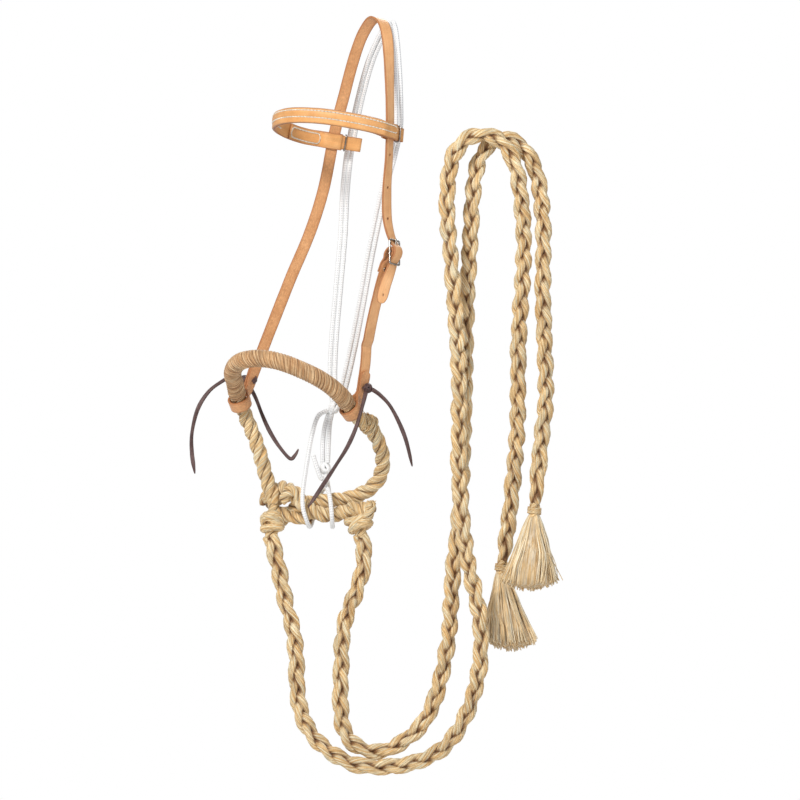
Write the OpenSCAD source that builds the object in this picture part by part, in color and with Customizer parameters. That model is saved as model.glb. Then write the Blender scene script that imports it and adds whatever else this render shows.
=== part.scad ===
// Bitless hackamore: a leather one-ear-less headstall with a stitched browband, a fibre-wrapped
// rope noseband tied into the cheek straps with thongs, a white throat cord knotted to the heel
// of the noseband, and two plaited rope reins with tassels. It is drawn hung up, in millimetres.
// Origin: the underside of the crown strap where it hangs. +Z up, -Y towards the near side.

/* [Headstall leather] */
// Width of the crown and cheek straps
strap_w = 16; // [14:0.5:17]
// Thickness of the crown and cheek straps
strap_t = 3.2; // [2.4:0.1:3.3]
// Width of the browband
brow_w = 22; // [18:0.5:24]
// Thickness of the browband's lining strap
brow_t = 2.4; // [1.8:0.1:2.5]
// Thickness of the browband's padded face
brow_pad_t = 2.4; // [1.6:0.1:3]
// Diameter of the punched holes
hole_d = 5; // [4.4:0.1:5.4]

/* [Hardware] */
// Diameter of the buckle's wire
buckle_wire_d = 2.6; // [2:0.1:2.8]
// Diameter of the buckle's tongue
tongue_d = 2.2; // [1.8:0.1:2.4]
// Diameter of the wire in the browband's rings
ring_wire_d = 2.2; // [1.6:0.1:2.4]

/* [Rope] */
// Diameter of the laid rope of the noseband
rope_d = 19; // [17:0.5:19]
// Outside diameter of the fibre wrap over the nose
wrap_d = 24; // [22:0.5:25]
// Diameter of the plaited reins
rein_d = 20; // [16:0.5:20]
// Diameter of the white throat cord
cord_d = 6.4; // [5:0.2:6.4]
// Diameter of the dark leather thongs
thong_d = 5; // [4:0.2:5]
// Length of each tassel
tassel_l = 112; // [95:1:115]

/* [Hidden] */

// Air left between two leather layers that lie on each other
layer_gap = 0.6;
// Air between a loop of leather and what it holds
loop_air = 1.7;
// Overlap that makes joined solids one piece
bite = 0.5;
side_count = 10;

leather = [0.87, 0.63, 0.41];
nickel = [0.75, 0.74, 0.72];
rope_gold = [0.84, 0.69, 0.46];
wrap_brown = [0.70, 0.55, 0.38];
thong_brown = [0.31, 0.23, 0.23];
cord_white = [0.95, 0.95, 0.94];
thread_white = [0.96, 0.94, 0.88];

// ---------------------------------------------------------------- curves and sweeps
function unit(v) = v / norm(v);
function across(v, t) = unit(v - (v * t) * t);
function pick(p, i) = p[max(0, min(len(p) - 1, i))];
function curve_at(p, i, t) =
    let (a = pick(p, i - 1), b = pick(p, i), c = pick(p, i + 1), d = pick(p, i + 2))
    0.5 * (2 * b + (c - a) * t + (2 * a - 5 * b + 4 * c - d) * t * t
        + (3 * b - a - 3 * c + d) * t * t * t);
// A smooth curve through the points of p, each stretch cut into n steps
function curve(p, n) = [for (i = [0 : len(p) - 2], k = [0 : n - 1]) curve_at(p, i, k / n), p[len(p) - 1]];
function heading(p, i) = unit(pick(p, i + 1) - pick(p, i - 1));
function reversed(p) = [for (i = [len(p) - 1 : -1 : 0]) p[i]];
function part(p, a, b) = [for (i = [a : b]) p[i]];
function xyz(s) = [s[0], s[1], s[2]];
function wide(s) = [s[3], s[4], s[5]];

// Skins a list of rings, each a list of the same number of points
module skin(rings) {
    n = len(rings[0]);
    last = len(rings) - 1;
    polyhedron(
        points = [for (ring = rings, p = ring) p],
        faces = concat(
            [[for (k = [0 : n - 1]) k]],
            [for (j = [0 : last - 1], k = [0 : n - 1]) [j * n + k, (j + 1) * n + k, (j + 1) * n + (k + 1) % n]],
            [for (j = [0 : last - 1], k = [0 : n - 1]) [j * n + k, (j + 1) * n + (k + 1) % n, j * n + (k + 1) % n]],
            [[for (k = [n - 1 : -1 : 0]) last * n + k]]));
}

// One normal for each heading, carried along the path without twist
function normals(ts) = [
    for (i = 0, n = across(abs(ts[0][2]) < 0.9 ? [0, 0, 1] : [1, 0, 0], ts[0]);
        i < len(ts);
        i = i + 1, n = i < len(ts) ? across(n, ts[i]) : n) n];

// Rings of a round cord; r may be one radius or a list with one for each point
function cord_rings(p, r, sides = side_count) =
    let (ts = [for (i = [0 : len(p) - 1]) heading(p, i)], ns = normals(ts))
    [for (i = [0 : len(p) - 1])
        let (b = cross(ts[i], ns[i]), ri = is_list(r) ? r[i] : r)
        [for (k = [0 : sides - 1]) p[i] + ri * (cos(k * 360 / sides) * ns[i] + sin(k * 360 / sides) * b)]];

module cord(p, r, sides = side_count) {
    skin(cord_rings(p, r, sides));
}

// A strap station holds its place, the direction of its width and a factor on the width
function station(p, w, s = 1) = [p[0], p[1], p[2], w[0], w[1], w[2], s];
function strap_path(s) = [for (q = s) xyz(q)];
function strap_normal(s, i) =
    let (t = heading(strap_path(s), i), w = across(wide(s[i]), t)) cross(t, w);
function strap_side(s, i) = across(wide(s[i]), heading(strap_path(s), i));
// The same strap moved off its own face by n, and sideways by m
function shifted(s, n, m = 0) = [for (i = [0 : len(s) - 1])
    station(xyz(s[i]) + n * strap_normal(s, i) + m * strap_side(s, i), wide(s[i]), s[i][6])];

module strap(s, w, t) {
    skin([for (i = [0 : len(s) - 1])
        let (side = strap_side(s, i) * w * s[i][6] / 2, up = strap_normal(s, i) * t / 2, p = xyz(s[i]))
        [p - side - up, p + side - up, p + side + up, p - side + up]]);
}

// Stands children up on a place p with their X along x and their Z as near to z as it can be
module stand(p, x, z) {
    ex = unit(x);
    ez = across(z, ex);
    ey = cross(ez, ex);
    tilt = acos(max(-1, min(1, ez[2])));
    turn = atan2(ez[1], ez[0]);
    // X axis after the tilt alone, which the last spin brings round to ex
    bx = [cos(turn) * cos(tilt), sin(turn) * cos(tilt), -sin(tilt)];
    by = [-sin(turn), cos(turn), 0];
    spin = atan2(ex * by, ex * bx);
    translate(p) rotate([0, 0, turn]) rotate([0, tilt, 0]) rotate([0, 0, spin]) children();
}

// ---------------------------------------------------------------- cheek loops round the rope
// Centre of each loop, the rope's heading through it, and the strap's rise out of it
far_c = [-188, 40, -527];
far_a = unit([0.30, 0.55, -0.78]);
far_up = across([0, 0, 1], far_a);
far_out = cross(far_up, far_a);
near_c = [-34, -24, -538];
near_a = unit([0.52, 0.55, -0.655]);
near_up = across([0, 0, 1], near_a);
near_out = cross(near_a, near_up);
rope_r = rope_d / 2;
loop_r = rope_r + 2.6 + strap_t / 2;
fold_n = (strap_t + layer_gap) / 2;

function loop_at(c, up, out, a, u, n) = station(c + u * up + n * out, a);
// The loop from the inner layer, under the rope, to the outer layer
function loop(c, up, out, a) = concat(
    [loop_at(c, up, out, a, 16.5, -3.1 * fold_n)],
    [for (d = [42 : 28 : 322]) loop_at(c, up, out, a, loop_r * cos(d), -loop_r * sin(d))],
    [loop_at(c, up, out, a, 16.5, 3.1 * fold_n)]);
// Middle of the double strap above each loop, going up; the outer layer stops at its tail_end
far_mid = curve([
    loop_at(far_c, far_up, far_out, far_a, 22, 0), loop_at(far_c, far_up, far_out, far_a, 31, 0),
    station([-171, 63, -492], [0.45, 0.52, -0.72]), station([-166, 62.5, -478], [0.65, 0.45, -0.60]),
    station([-161, 61.5, -465], [0.78, 0.35, -0.50]), station([-152, 60.5, -442], [0.86, 0.27, -0.38])], 2);
near_mid = curve([
    loop_at(near_c, near_up, near_out, near_a, 22, 0), loop_at(near_c, near_up, near_out, near_a, 31, 0),
    station([-17.5, -7.5, -499], [0.66, 0.59, -0.44]), station([-15, -9, -485], [0.74, 0.59, -0.30]),
    station([-13.5, -12, -473], [0.78, 0.59, -0.20]), station([-12, -19, -450], [0.80, 0.58, -0.15])], 2);
tail_end = 8;
near_tail_end = 5;
// Rounded end of a folded-back layer
function round_end(s) =
    let (a = s[len(s) - 2], b = s[len(s) - 1], d = unit(xyz(b) - xyz(a)))
    [station(xyz(b) + 4 * d, wide(b), 0.8), station(xyz(b) + 6.5 * d, wide(b), 0.45)];
function tail(s) = concat(s, round_end(s));

// ---------------------------------------------------------------- buckle
buckle_c = [25.5, -76, -320.5];
buckle_down = unit([0, -0.24, -0.97]);
buckle_w = across([0.66, 0.73, -0.18], buckle_down);
buckle_out = cross(buckle_down, buckle_w);
buckle_bar_u = 17;
buckle_rail_w = strap_w / 2 + 0.7 + buckle_wire_d / 2;
wire_r = buckle_wire_d / 2;
bar_fold_r = wire_r + 0.5 + strap_t / 2;
layer_pitch = strap_t + layer_gap;
over_bar_n = bar_fold_r + layer_pitch;
under_bar_n = -(wire_r + 0.7 + strap_t / 2);
function in_buckle(u, n) = station(buckle_c + u * buckle_down + n * buckle_out, buckle_w);
// The crown strap from the top of the middle bar's hump down to the bottom bar
hump = curve([in_buckle(0, over_bar_n), in_buckle(6, over_bar_n - 2), in_buckle(11.5, -0.4),
    in_buckle(buckle_bar_u + 1, under_bar_n)], 2);

// ---------------------------------------------------------------- crown strap
// Far cheek, crown and near side, from the fold above the far loop to the tip in the buckle
crown_free = [
    station([-137, 61.5, -405], [0.93, 0.15, -0.30]),
    station([-116, 64, -352], [0.95, 0.10, -0.30]), station([-97, 67, -308], [0.95, 0.10, -0.30]),
    station([-83, 70, -270], [0.96, 0.10, -0.25]), station([-72, 72, -232], [0.97, 0.10, -0.20]),
    station([-65, 73, -198], [0.98, 0.10, -0.17]), station([-59, 72, -165], [0.98, 0.10, -0.15]),
    station([-52, 68, -134], [0.98, 0.08, -0.18]), station([-44, 60, -104], [0.97, 0.05, -0.20]),
    station([-33, 46, -62], [0.95, 0, -0.20]), station([-21, 29, -26], [0.93, 0, -0.25]),
    station([-8, 11, -3], [0.93, 0.05, -0.25]), station([2, -2, 1.6], [0.94, 0.10, -0.25]),
    station([11, -15, -6], [0.95, 0.18, -0.20]), station([16, -30, -28], [0.94, 0.28, -0.10]),
    station([18, -46, -62], [0.80, 0.58, -0.05]), station([19, -60, -104], [0.66, 0.75, 0]),
    station([19.3, -69, -150], [0.62, 0.78, 0]), station([17.8, -70, -190], [0.60, 0.80, 0]),
    station([15.2, -67, -230], [0.70, 0.71, -0.02]), station([14.8, -63.5, -262], [0.76, 0.64, -0.04]),
    station([16.2, -63, -279], [0.73, 0.68, -0.08]), station([19.2, -65.5, -293], [0.69, 0.71, -0.13])];
// Through the buckle: under the top bar, over the fold on the middle bar, under the bottom bar
crown_hump = [
    in_buckle(-buckle_bar_u - 1, under_bar_n), in_buckle(-11.5, -0.4), in_buckle(-6, over_bar_n - 2)];
crown_tip = [
    station([18.6, -81, -350], [0.82, 0.55, -0.18]), station([14, -83, -362], [0.94, 0.28, -0.20]),
    station([10.5, -84, -374], [0.96, 0.20, -0.22]), station([8.6, -84.5, -381], [0.96, 0.20, -0.24]),
    station([7.5, -84.8, -386], [0.96, 0.20, -0.24], 0.85),
    station([6.5, -85, -390.5], [0.96, 0.20, -0.24], 0.45)];
crown_line = concat(
    reversed(tail(shifted(part(far_mid, 0, tail_end), fold_n))),
    curve(reversed(loop(far_c, far_up, far_out, far_a)), 1),
    shifted(far_mid, -fold_n),
    part(curve(concat([far_mid[len(far_mid) - 1]], crown_free, crown_hump, [hump[0]]), 2), 2,
        2 * (len(crown_free) + len(crown_hump) + 1) - 1),
    hump,
    part(curve(concat([hump[len(hump) - 1]], crown_tip), 2), 1, 2 * len(crown_tip)));

// Spare holes above the one in use
spare_holes = [[15.8, -63.4, -274], [15.3, -67, -231], [18, -70, -186]];
module punch(p, out, d = hole_d) {
    stand(p, buckle_w, out) cylinder(h = 4 * strap_t, d = d, center = true, $fn = 24);
}
// Where each thong goes through the two layers above its loop
far_slot = [-172.5, 62.8, -497];
near_slot = [-18.6, -8.2, -508];

module crown_strap() {
    color(leather) difference() {
        strap(crown_line, strap_w, strap_t);
        for (p = spare_holes) punch(p, [0.76, -0.65, 0]);
        tongue_hole();
    }
}

// The hole the tongue goes through, along the middle of its swing
module tongue_hole() {
    in_frame() rotate([tongue_lean + tongue_swing / 2, 0, 0]) translate([0, 0, 4])
        cylinder(h = 9.5, d = hole_d, $fn = 24);
}

// ---------------------------------------------------------------- near cheek strap
// Two layers from the buckle down to the end of the fold, then one
cheek_double = [station([14.2, -73.4, -338.5], [0.78, 0.60, -0.18]),
    station([12.4, -73, -344], [0.80, 0.58, -0.18]), station([10.6, -72.2, -349.5], [0.81, 0.56, -0.17])];
cheek_free = [station([6.6, -69, -364], [0.83, 0.54, -0.16]), station([2.2, -62, -382], [0.84, 0.52, -0.15]),
    station([-2.6, -52, -402], [0.84, 0.52, -0.15]), station([-8, -37, -428], [0.83, 0.54, -0.15])];
cheek_front = curve(concat(
    [in_buckle(0, bar_fold_r), in_buckle(4.6, 1.3), in_buckle(9, -4), in_buckle(13, -8.8)],
    cheek_double, cheek_free, [near_mid[len(near_mid) - 1]]), 2);
// The short folded-back end bows away from the bar inside the buckle
cheek_back = concat(reversed(shifted(cheek_double, -layer_pitch - 0.3)),
    [in_buckle(8, -13.5), in_buckle(1.5, -12), in_buckle(-3.6, -8.5), in_buckle(-6, -3.6),
        in_buckle(-5.2, 0.6), in_buckle(-3, 2.9)]);

near_cheek_line = concat(
    part(cheek_back, 0, 1),
    part(curve(part(cheek_back, 2, len(cheek_back) - 1), 2), 0, 2 * (len(cheek_back) - 3)),
    part(cheek_front, 0, len(cheek_front) - 2),
    shifted(reversed(near_mid), -fold_n),
    loop(near_c, near_up, near_out, near_a),
    tail(shifted(part(near_mid, 0, near_tail_end), -fold_n)));

module near_cheek_strap() {
    color(leather) difference() {
        strap(near_cheek_line, strap_w, strap_t);
        stand(near_slot, [0, 0, 1], near_out)
            cylinder(h = 5 * strap_t, d = thong_d + 1, center = true, $fn = 24);
        // Slot in the fold, where the tongue turns on the bar
        stand(buckle_c, buckle_w, buckle_down)
            translate([0, 0, -4]) cube([tongue_d + 1.6, 16, 16], center = true);
        fold_screw_place() cylinder(h = 30, d = screw_d + 0.2, center = true, $fn = 24);
    }
}

// ---------------------------------------------------------------- buckle and its tongue
module bar(length, d) {
    rotate([0, 90, 0]) cylinder(h = length, d = d, center = true, $fn = 24);
}

// Local axes: X across the strap, Z up along it, Y inward
module in_frame() {
    stand(buckle_c, buckle_w, -buckle_down) children();
}

module buckle_frame() {
    color(nickel) in_frame() {
        union() {
            for (u = [-buckle_bar_u, 0, buckle_bar_u])
                translate([0, 0, u]) bar(2 * buckle_rail_w, u == 0 ? buckle_wire_d - 0.2 : buckle_wire_d);
            for (side = [-1, 1]) {
                translate([side * buckle_rail_w, 0, 0])
                    cylinder(h = 2 * buckle_bar_u, d = buckle_wire_d, center = true, $fn = 24);
                for (u = [-buckle_bar_u, buckle_bar_u])
                    translate([side * buckle_rail_w, 0, u]) sphere(d = buckle_wire_d, $fn = 24);
            }
        }
    }
}

// The tongue: an eye on the middle bar and a pin that lies over the top bar
tongue_air = 0.06;
// The pin leans outward far enough to lie on the outside of the top bar
tongue_swing = 8;
tongue_lean = asin((wire_r + tongue_d / 2 + 0.25) / buckle_bar_u);
eye_r = wire_r - 0.1 + tongue_air;
module buckle_tongue() {
    color(nickel) in_frame() difference() {
        union() {
            bar(tongue_d + 0.6, 2 * (eye_r + 1.2));
            rotate([tongue_lean, 0, 0]) translate([0, 0, eye_r + 0.4]) {
                cylinder(h = buckle_bar_u + 2.6 - eye_r, d = tongue_d, $fn = 24);
            }
        }
        bar(3 * tongue_d, 2 * eye_r);
    }
}

// ---------------------------------------------------------------- screw through the cheek's fold
screw_d = 4.4;
screw_head_d = 9;
screw_head_t = 0.9;
screw_at = [11.4, -71.5, -343.6];
screw_out = [0.56, -0.80, -0.23];
module fold_screw_place() {
    stand(screw_at, buckle_w, screw_out) children();
}
fold_half = strap_t + layer_gap / 2;
module fold_screw_post() {
    color(nickel) fold_screw_place() difference() {
        union() {
            translate([0, 0, -fold_half - screw_head_t])
                cylinder(h = screw_head_t, d = screw_head_d, $fn = 32);
            translate([0, 0, -fold_half - bite])
                cylinder(h = 2 * fold_half + bite - 0.1, d = screw_d, $fn = 24);
        }
        translate([0, 0, -fold_half + 0.6]) cylinder(h = 2 * fold_half, d = screw_d - 1.6, $fn = 24);
    }
}
module fold_screw() {
    color(nickel) fold_screw_place() union() {
        translate([0, 0, fold_half]) cylinder(h = 0.35, d = screw_head_d, $fn = 32);
        translate([0, 0, -fold_half + 1.6]) cylinder(h = 2 * fold_half - 1.5, d = screw_d - 1.8, $fn = 24);
    }
}

// ---------------------------------------------------------------- browband
near_s = [19.2, -69.3, -154];
near_sw = unit([0.64, 0.77, -0.20]);
near_so = across([0.77, -0.64, 0.063], near_sw);
far_s = [-59.4, 72.1, -167];
far_sw = unit([0.98, 0.10, -0.15]);
far_so = across([-0.10, 0.98, 0.097], far_sw);
brow_up = [0.10, 0, 1];
wall_n = strap_t / 2 + loop_air + brow_t / 2;
fold_r = brow_t / 2 + 0.3;
tail_gap = 0.8;
// The doubled end beyond the ring is a little narrower than the band
stub_s = 0.86;
function at_near(w, n) =
    station(near_s + w * near_sw + n * near_so, cross(near_so, near_sw), w > 12 ? stub_s : 1);
function at_far(w, n) =
    station(far_s + w * far_sw + n * far_so, cross(far_sw, far_so), w > 12 ? stub_s : 1);
// A loop round the strap as [along, outward] pairs, from the tail round the stub's end to the band
function brow_loop(stub) = concat(
    [[-20, wall_n + 0.6 - brow_t - tail_gap], [-16, 0.2], [-12.5, -3], [-6, -wall_n], [8.5, -wall_n],
        [12, -fold_r - 1], [15, -fold_r], [stub - 4, -fold_r]],
    [for (d = [-90 : 45 : 90]) [stub + fold_r * cos(d), fold_r * sin(d)]],
    [[stub - 4, fold_r], [15, fold_r], [12, fold_r + 1], [8.5, wall_n], [-6, wall_n], [-12.5, wall_n]]);
near_loop = [for (q = brow_loop(26)) at_near(q[0], q[1])];
far_loop = [for (q = brow_loop(37)) at_far(q[0], q[1])];
brow_arc = [for (p = [[1, -93, -146.5], [-18, -99, -142], [-42, -101, -137.5], [-68, -97, -133.5], [-93, -87, -131.5],
    [-115, -70, -131.5], [-130, -47, -134], [-137.5, -20, -138], [-138, 6, -142], [-132, 30, -147.5],
    [-121, 50, -153], [-107, 64, -158], [-93, 71.5, -161.5]]) station(p, brow_up)];
brow_steps = 2;
brow_main = curve(concat([at_near(-20, wall_n + 0.6)], brow_arc, [at_far(-20, wall_n + 0.6)]), brow_steps);
brow_out = strap_normal(brow_main, 14) * [-1, 0, 0] > 0 ? 1 : -1;
tail_steps = 6;
brow_in = shifted(brow_main, -brow_out * (brow_t + tail_gap));
brow_last = len(brow_main) - 1;
module browband_strap() {
    line = concat(reversed(part(brow_in, 1, tail_steps)), near_loop, brow_main,
        reversed(far_loop), reversed(part(brow_in, brow_last - tail_steps, brow_last - 1)));
    color(leather) strap(line, brow_w, brow_t);
}
face_n = brow_out * ((brow_t + brow_pad_t) / 2 + 2 * layer_gap);
// The face starts over the near loop, outside the crown strap
face_line = shifted(concat(part(near_loop, 16, 18), part(brow_main, 0, brow_last - 1)), face_n);
module browband_face() {
    color(leather) strap(face_line, brow_w - 1, brow_pad_t);
}
stitch_d = 0.9;
stitch_m = 7;
module browband_stitching() {
    lift = brow_out * (brow_pad_t + stitch_d + layer_gap) / 2;
    color(thread_white) for (m = [-stitch_m, stitch_m])
        cord([for (s = shifted(face_line, lift, m)) xyz(s)], stitch_d / 2, 6);
}
ring_air = 0.4;
module brow_ring(p, along, up) {
    inner_y = 2 * fold_r + brow_t + 2 * ring_air;
    inner_z = stub_s * brow_w + 2 * ring_air;
    color(nickel) stand(p, along, up) difference() {
        cube([ring_wire_d, inner_y + 2 * ring_wire_d, inner_z + 2 * ring_wire_d], center = true);
        cube([3 * ring_wire_d, inner_y, inner_z], center = true);
    }
}
near_ring_w = 17;
far_ring_w = 17;
module near_brow_ring() { brow_ring(near_s + near_ring_w * near_sw, near_sw, cross(near_so, near_sw)); }
module far_brow_ring() { brow_ring(far_s + far_ring_w * far_sw, far_sw, cross(far_sw, far_so)); }

// ---------------------------------------------------------------- noseband
// Distance from a loop's centre to the end of the wrap
wrap_gap = 11.5;
nose_route = [[-195, 14, -500], [-198, -6, -488], [-194, -28, -477], [-184, -48, -470],
    [-168, -64, -467], [-149, -74, -468], [-128, -80, -473], [-105, -80, -482], [-82, -74, -493],
    [-62, -60, -506], [-46, -41, -521]];
far_leg_route = [[-138, 62, -668], [-146, 66, -648], [-153, 66, -625], [-160, 64, -600], [-168, 60, -575],
    [-178, 54, -552]];
near_leg_route = [[-20, -9, -553], [-9, 2, -561], [0, 12, -576], [7, 22, -594], [9, 32, -613], [4, 41, -632],
    [-9, 48, -647], [-28, 52, -657], [-50, 52, -662], [-74, 52, -664], [-98, 57, -668], [-118, 66, -678],
    [-132, 72, -690]];
chin_route = [[-152, 80, -668], [-146, 86, -654], [-132, 80, -646], [-118, 62, -650], [-106, 46, -662],
    [-96, 34, -672], [-80, 30, -681], [-60, 33, -683], [-42, 35, -679], [-26, 28, -674], [-6, 18, -680]];
noseband_line = curve(concat(
    far_leg_route, [far_c + wrap_gap * far_a, far_c, far_c - wrap_gap * far_a], nose_route,
    [near_c - wrap_gap * near_a, near_c, near_c + wrap_gap * near_a], near_leg_route), 1);
module noseband_rope() {
    color(rope_gold) cord(noseband_line, rope_r - 0.1);
}
wrap_line = concat([far_c - wrap_gap * far_a], nose_route, [near_c - wrap_gap * near_a]);
// An open tube along p: its outside rings, then its inside rings back, joined at both ends
module sleeve(p, r_out, r_in, sides) {
    rings = concat(cord_rings(p, r_out, sides), reversed(cord_rings(p, r_in, sides)));
    count = len(rings);
    polyhedron(
        points = [for (ring = rings, q = ring) q],
        faces = [for (j = [0 : count - 1], k = [0 : sides - 1], half = [0, 1])
            let (a = j * sides + k, b = ((j + 1) % count) * sides + k,
                c = ((j + 1) % count) * sides + (k + 1) % sides, d = j * sides + (k + 1) % sides)
            half == 0 ? [a, b, c] : [a, c, d]]);
}
module noseband_wrap() {
    color(wrap_brown) sleeve(wrap_line, wrap_d / 2, rope_r + 0.3, 12);
}
collar_c = [-10, 1, -558];
collar_dir = unit([0.62, 0.62, -0.48]);
collar_r = 2.6;
module leg_collar() {
    color(rope_gold) stand(collar_c, [0, 0, 1], collar_dir)
        rotate_extrude($fn = 36) translate([rope_r + collar_r, 0]) circle(r = collar_r, $fn = 20);
}
module chin_rope() {
    color(rope_gold) cord(curve(chin_route, 1), rope_r - 0.3);
}

// ---------------------------------------------------------------- reins
left_knot_c = [-143, 60, -693];
right_knot_c = [-24, 30, -693];
// A knot as a barrel of radius r and height h with its axis upright
module knot_barrel(c, r, h) {
    translate(c) rotate_extrude($fn = 36) intersection() {
        translate([r - h / 2, 0]) union() {
            circle(r = h / 2, $fn = 40);
            translate([-(r - h / 2) - h, -h / 2]) square([r + h / 2, h]);
        }
        translate([0, -h]) square([2 * r, 2 * h]);
    }
}
module left_rein_knot() { color(rope_gold) knot_barrel(left_knot_c, 17, 32); }
module right_rein_knot() { color(rope_gold) knot_barrel(right_knot_c, 20, 28); }

left_rein_route = [[-145, 60, -712.5], [-134, 58, -758], [-126, 54, -799], [-115, 48, -839], [-110, 40, -880],
    [-109, 32, -920], [-103, 24, -956], [-90, 16, -984], [-65, 8, -1009], [-30, 0, -1027], [12, -6, -1031],
    [55, -10, -1024], [88, -12, -1008], [112, -14, -982], [130, -14, -945], [141, -14, -903],
    [145, -14, -864], [143, -14, -825], [136, -14, -788], [127, -14, -749], [119, -13, -690],
    [114, -13, -607], [115, -12, -524], [112, -12, -440], [107, -12, -370], [100, -12, -290],
    [98, -12, -240], [105, -11, -193], [122, -10, -167], [146, -9, -158], [170, -8, -166],
    [190, -5, -195], [200, 0, -245], [204, 5, -300], [202, 9, -360], [197, 13, -440], [196, 16, -524],
    [194, 19, -580], [190, 21, -629], [185, 23, -675], [180, 24, -715], [175, 24, -747]];
right_rein_route = [[-20, 28, -711], [-16, 25, -746], [-27, 22, -788], [-40, 20, -820], [-46, 18, -853],
    [-48, 17, -894], [-49, 16, -934], [-47, 15, -967], [-38, 14, -991], [-18, 13, -1006], [8, 13, -1009],
    [34, 13, -998], [61, 13, -975], [79, 13, -943], [92, 13, -897], [101, 13, -847], [104, 13, -799],
    [107, 12, -755], [112, 12, -716], [118, 12, -640], [121, 12, -560], [123, 12, -480], [125, 12, -400],
    [129, 12, -317], [133, 12, -248], [140, 13, -200], [158, 14, -170], [182, 14, -164], [207, 12, -182],
    [224, 9, -221], [231, 6, -290], [230, 2, -370], [233, -3, -450], [234, -8, -524], [228, -12, -580],
    [223, -15, -630], [220, -17, -668]];
module left_rein() { color(rope_gold) cord(left_rein_route, rein_d / 2); }
module right_rein() { color(rope_gold) cord(right_rein_route, rein_d / 2); }

tie_h = 9;
tie_r = rein_d / 2 + 1.5;
left_tie_c = [173.6, 24, -756];
right_tie_c = [218.6, -17.6, -677];
module rein_tie(c, lean) {
    color(rope_gold) translate(c) rotate([0, lean, 0])
        cylinder(h = tie_h, r = tie_r, center = true, $fn = 32);
}
module left_rein_tie() { rein_tie(left_tie_c, 8); }
module right_rein_tie() { rein_tie(right_tie_c, 4); }

// A tassel hangs from its pivot: a round top, then a flat cone of loose strands
tassel_top_r = 8;
module tassel(pivot, foot, wide_r, deep_r) {
    function ring_at(t, rx, ry) = [for (k = [0 : 11])
        pivot + t * (foot - pivot) + [rx * cos(30 * k), ry * sin(30 * k), 0]];
    color(rope_gold) union() {
        translate(pivot) sphere(r = tassel_top_r, $fn = 32);
        skin([ring_at(1, wide_r, deep_r), ring_at(0.75, 0.86 * wide_r, 0.9 * deep_r),
            ring_at(0.45, 0.58 * wide_r, 0.75 * deep_r), ring_at(0.2, 0.36 * wide_r, 0.6 * deep_r),
            ring_at(0, tassel_top_r - 1, tassel_top_r - 1)]);
    }
}
left_pivot = left_tie_c + [-1.2, 0, -tie_h / 2 - tassel_top_r - 1.9];
right_pivot = right_tie_c + [-0.6, 0, -tie_h / 2 - tassel_top_r - 1.2];
module left_tassel() { tassel(left_pivot, left_pivot + [16, 2, -tassel_l + 10], 34, 17); }
module right_tassel() { tassel(right_pivot, right_pivot + [-8, 0, -tassel_l + 14], 38, 18); }

// ---------------------------------------------------------------- white cord
cord_r = cord_d / 2;
throat_route = [[-57, 42, -527], [-60, 50, -492], [-58, 62, -440], [-52, 74, -370], [-46, 85, -300],
    [-43, 92, -240], [-38, 95, -190], [-30, 90, -145], [-20, 76, -100], [-8, 54, -58], [6, 30, -25],
    [17, 9, -5.5], [22, -6, -6], [26, -19, -26], [29, -30, -62], [31, -36, -104], [31, -38, -148],
    [24, -40, -184], [14, -42, -221], [5, -41, -262], [-8, -31, -325], [-19, -17, -386], [-31, 2, -448],
    [-42, 19, -497], [-50, 30, -525]];
upper_knot_c = [-58, 36, -535];
lower_knot_c = [-70, 33, -619];
drop_routes = [[[-61, 33, -543.5], [-64, 30, -560], [-65.5, 29, -585], [-66.5, 30, -611]],
    [[-65, 39, -542.5], [-70.5, 36, -560], [-73.5, 34, -585], [-73.5, 35, -611]]];
heel_route = [[-66.5, 36, -539], [-80, 32, -547], [-89, 28, -575], [-96, 24, -615], [-101, 18, -650],
    [-101, 14, -672], [-96, 18, -690], [-92, 34, -699], [-89, 54, -695], [-85, 67, -680], [-80, 68, -662],
    [-73, 57, -648], [-67, 38, -647], [-63, 21, -664], [-61, 16, -684], [-60, 26, -697], [-60, 46, -699],
    [-61, 62, -692], [-63, 69, -672], [-65, 62, -650], [-68, 48, -632], [-69, 40, -625.5]];
tie_route = [[-86.6, 25.4, -601], [-84, 24.5, -610], [-80, 24.5, -622], [-76, 26, -632], [-71, 30, -633],
    [-69, 32, -627.5]];
// The throat cord is laid double, its two strands side by side
module throat_cord() {
    color(cord_white) for (side = [-1, 1])
        cord([for (q = throat_route) q + [side * (cord_r + 0.2), 0, 0]], cord_r, 8);
}
module heel_cord() { color(cord_white) cord(heel_route, cord_r, 8); }
module tie_cord() { color(cord_white) cord(tie_route, cord_r, 8); }
module drop_cords() { color(cord_white) for (p = drop_routes) cord(p, cord_r, 8); }
module upper_cord_knot() { color(cord_white) translate(upper_knot_c) sphere(r = 8, $fn = 32); }
module lower_cord_knot() { color(cord_white) translate(lower_knot_c) sphere(r = 8, $fn = 32); }

// ---------------------------------------------------------------- thongs
thong_r = thong_d / 2;
thong_knot_r = 6;
far_knot_c = far_slot + 10 * far_out;
near_knot_c = near_slot + 10 * near_out;
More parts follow.
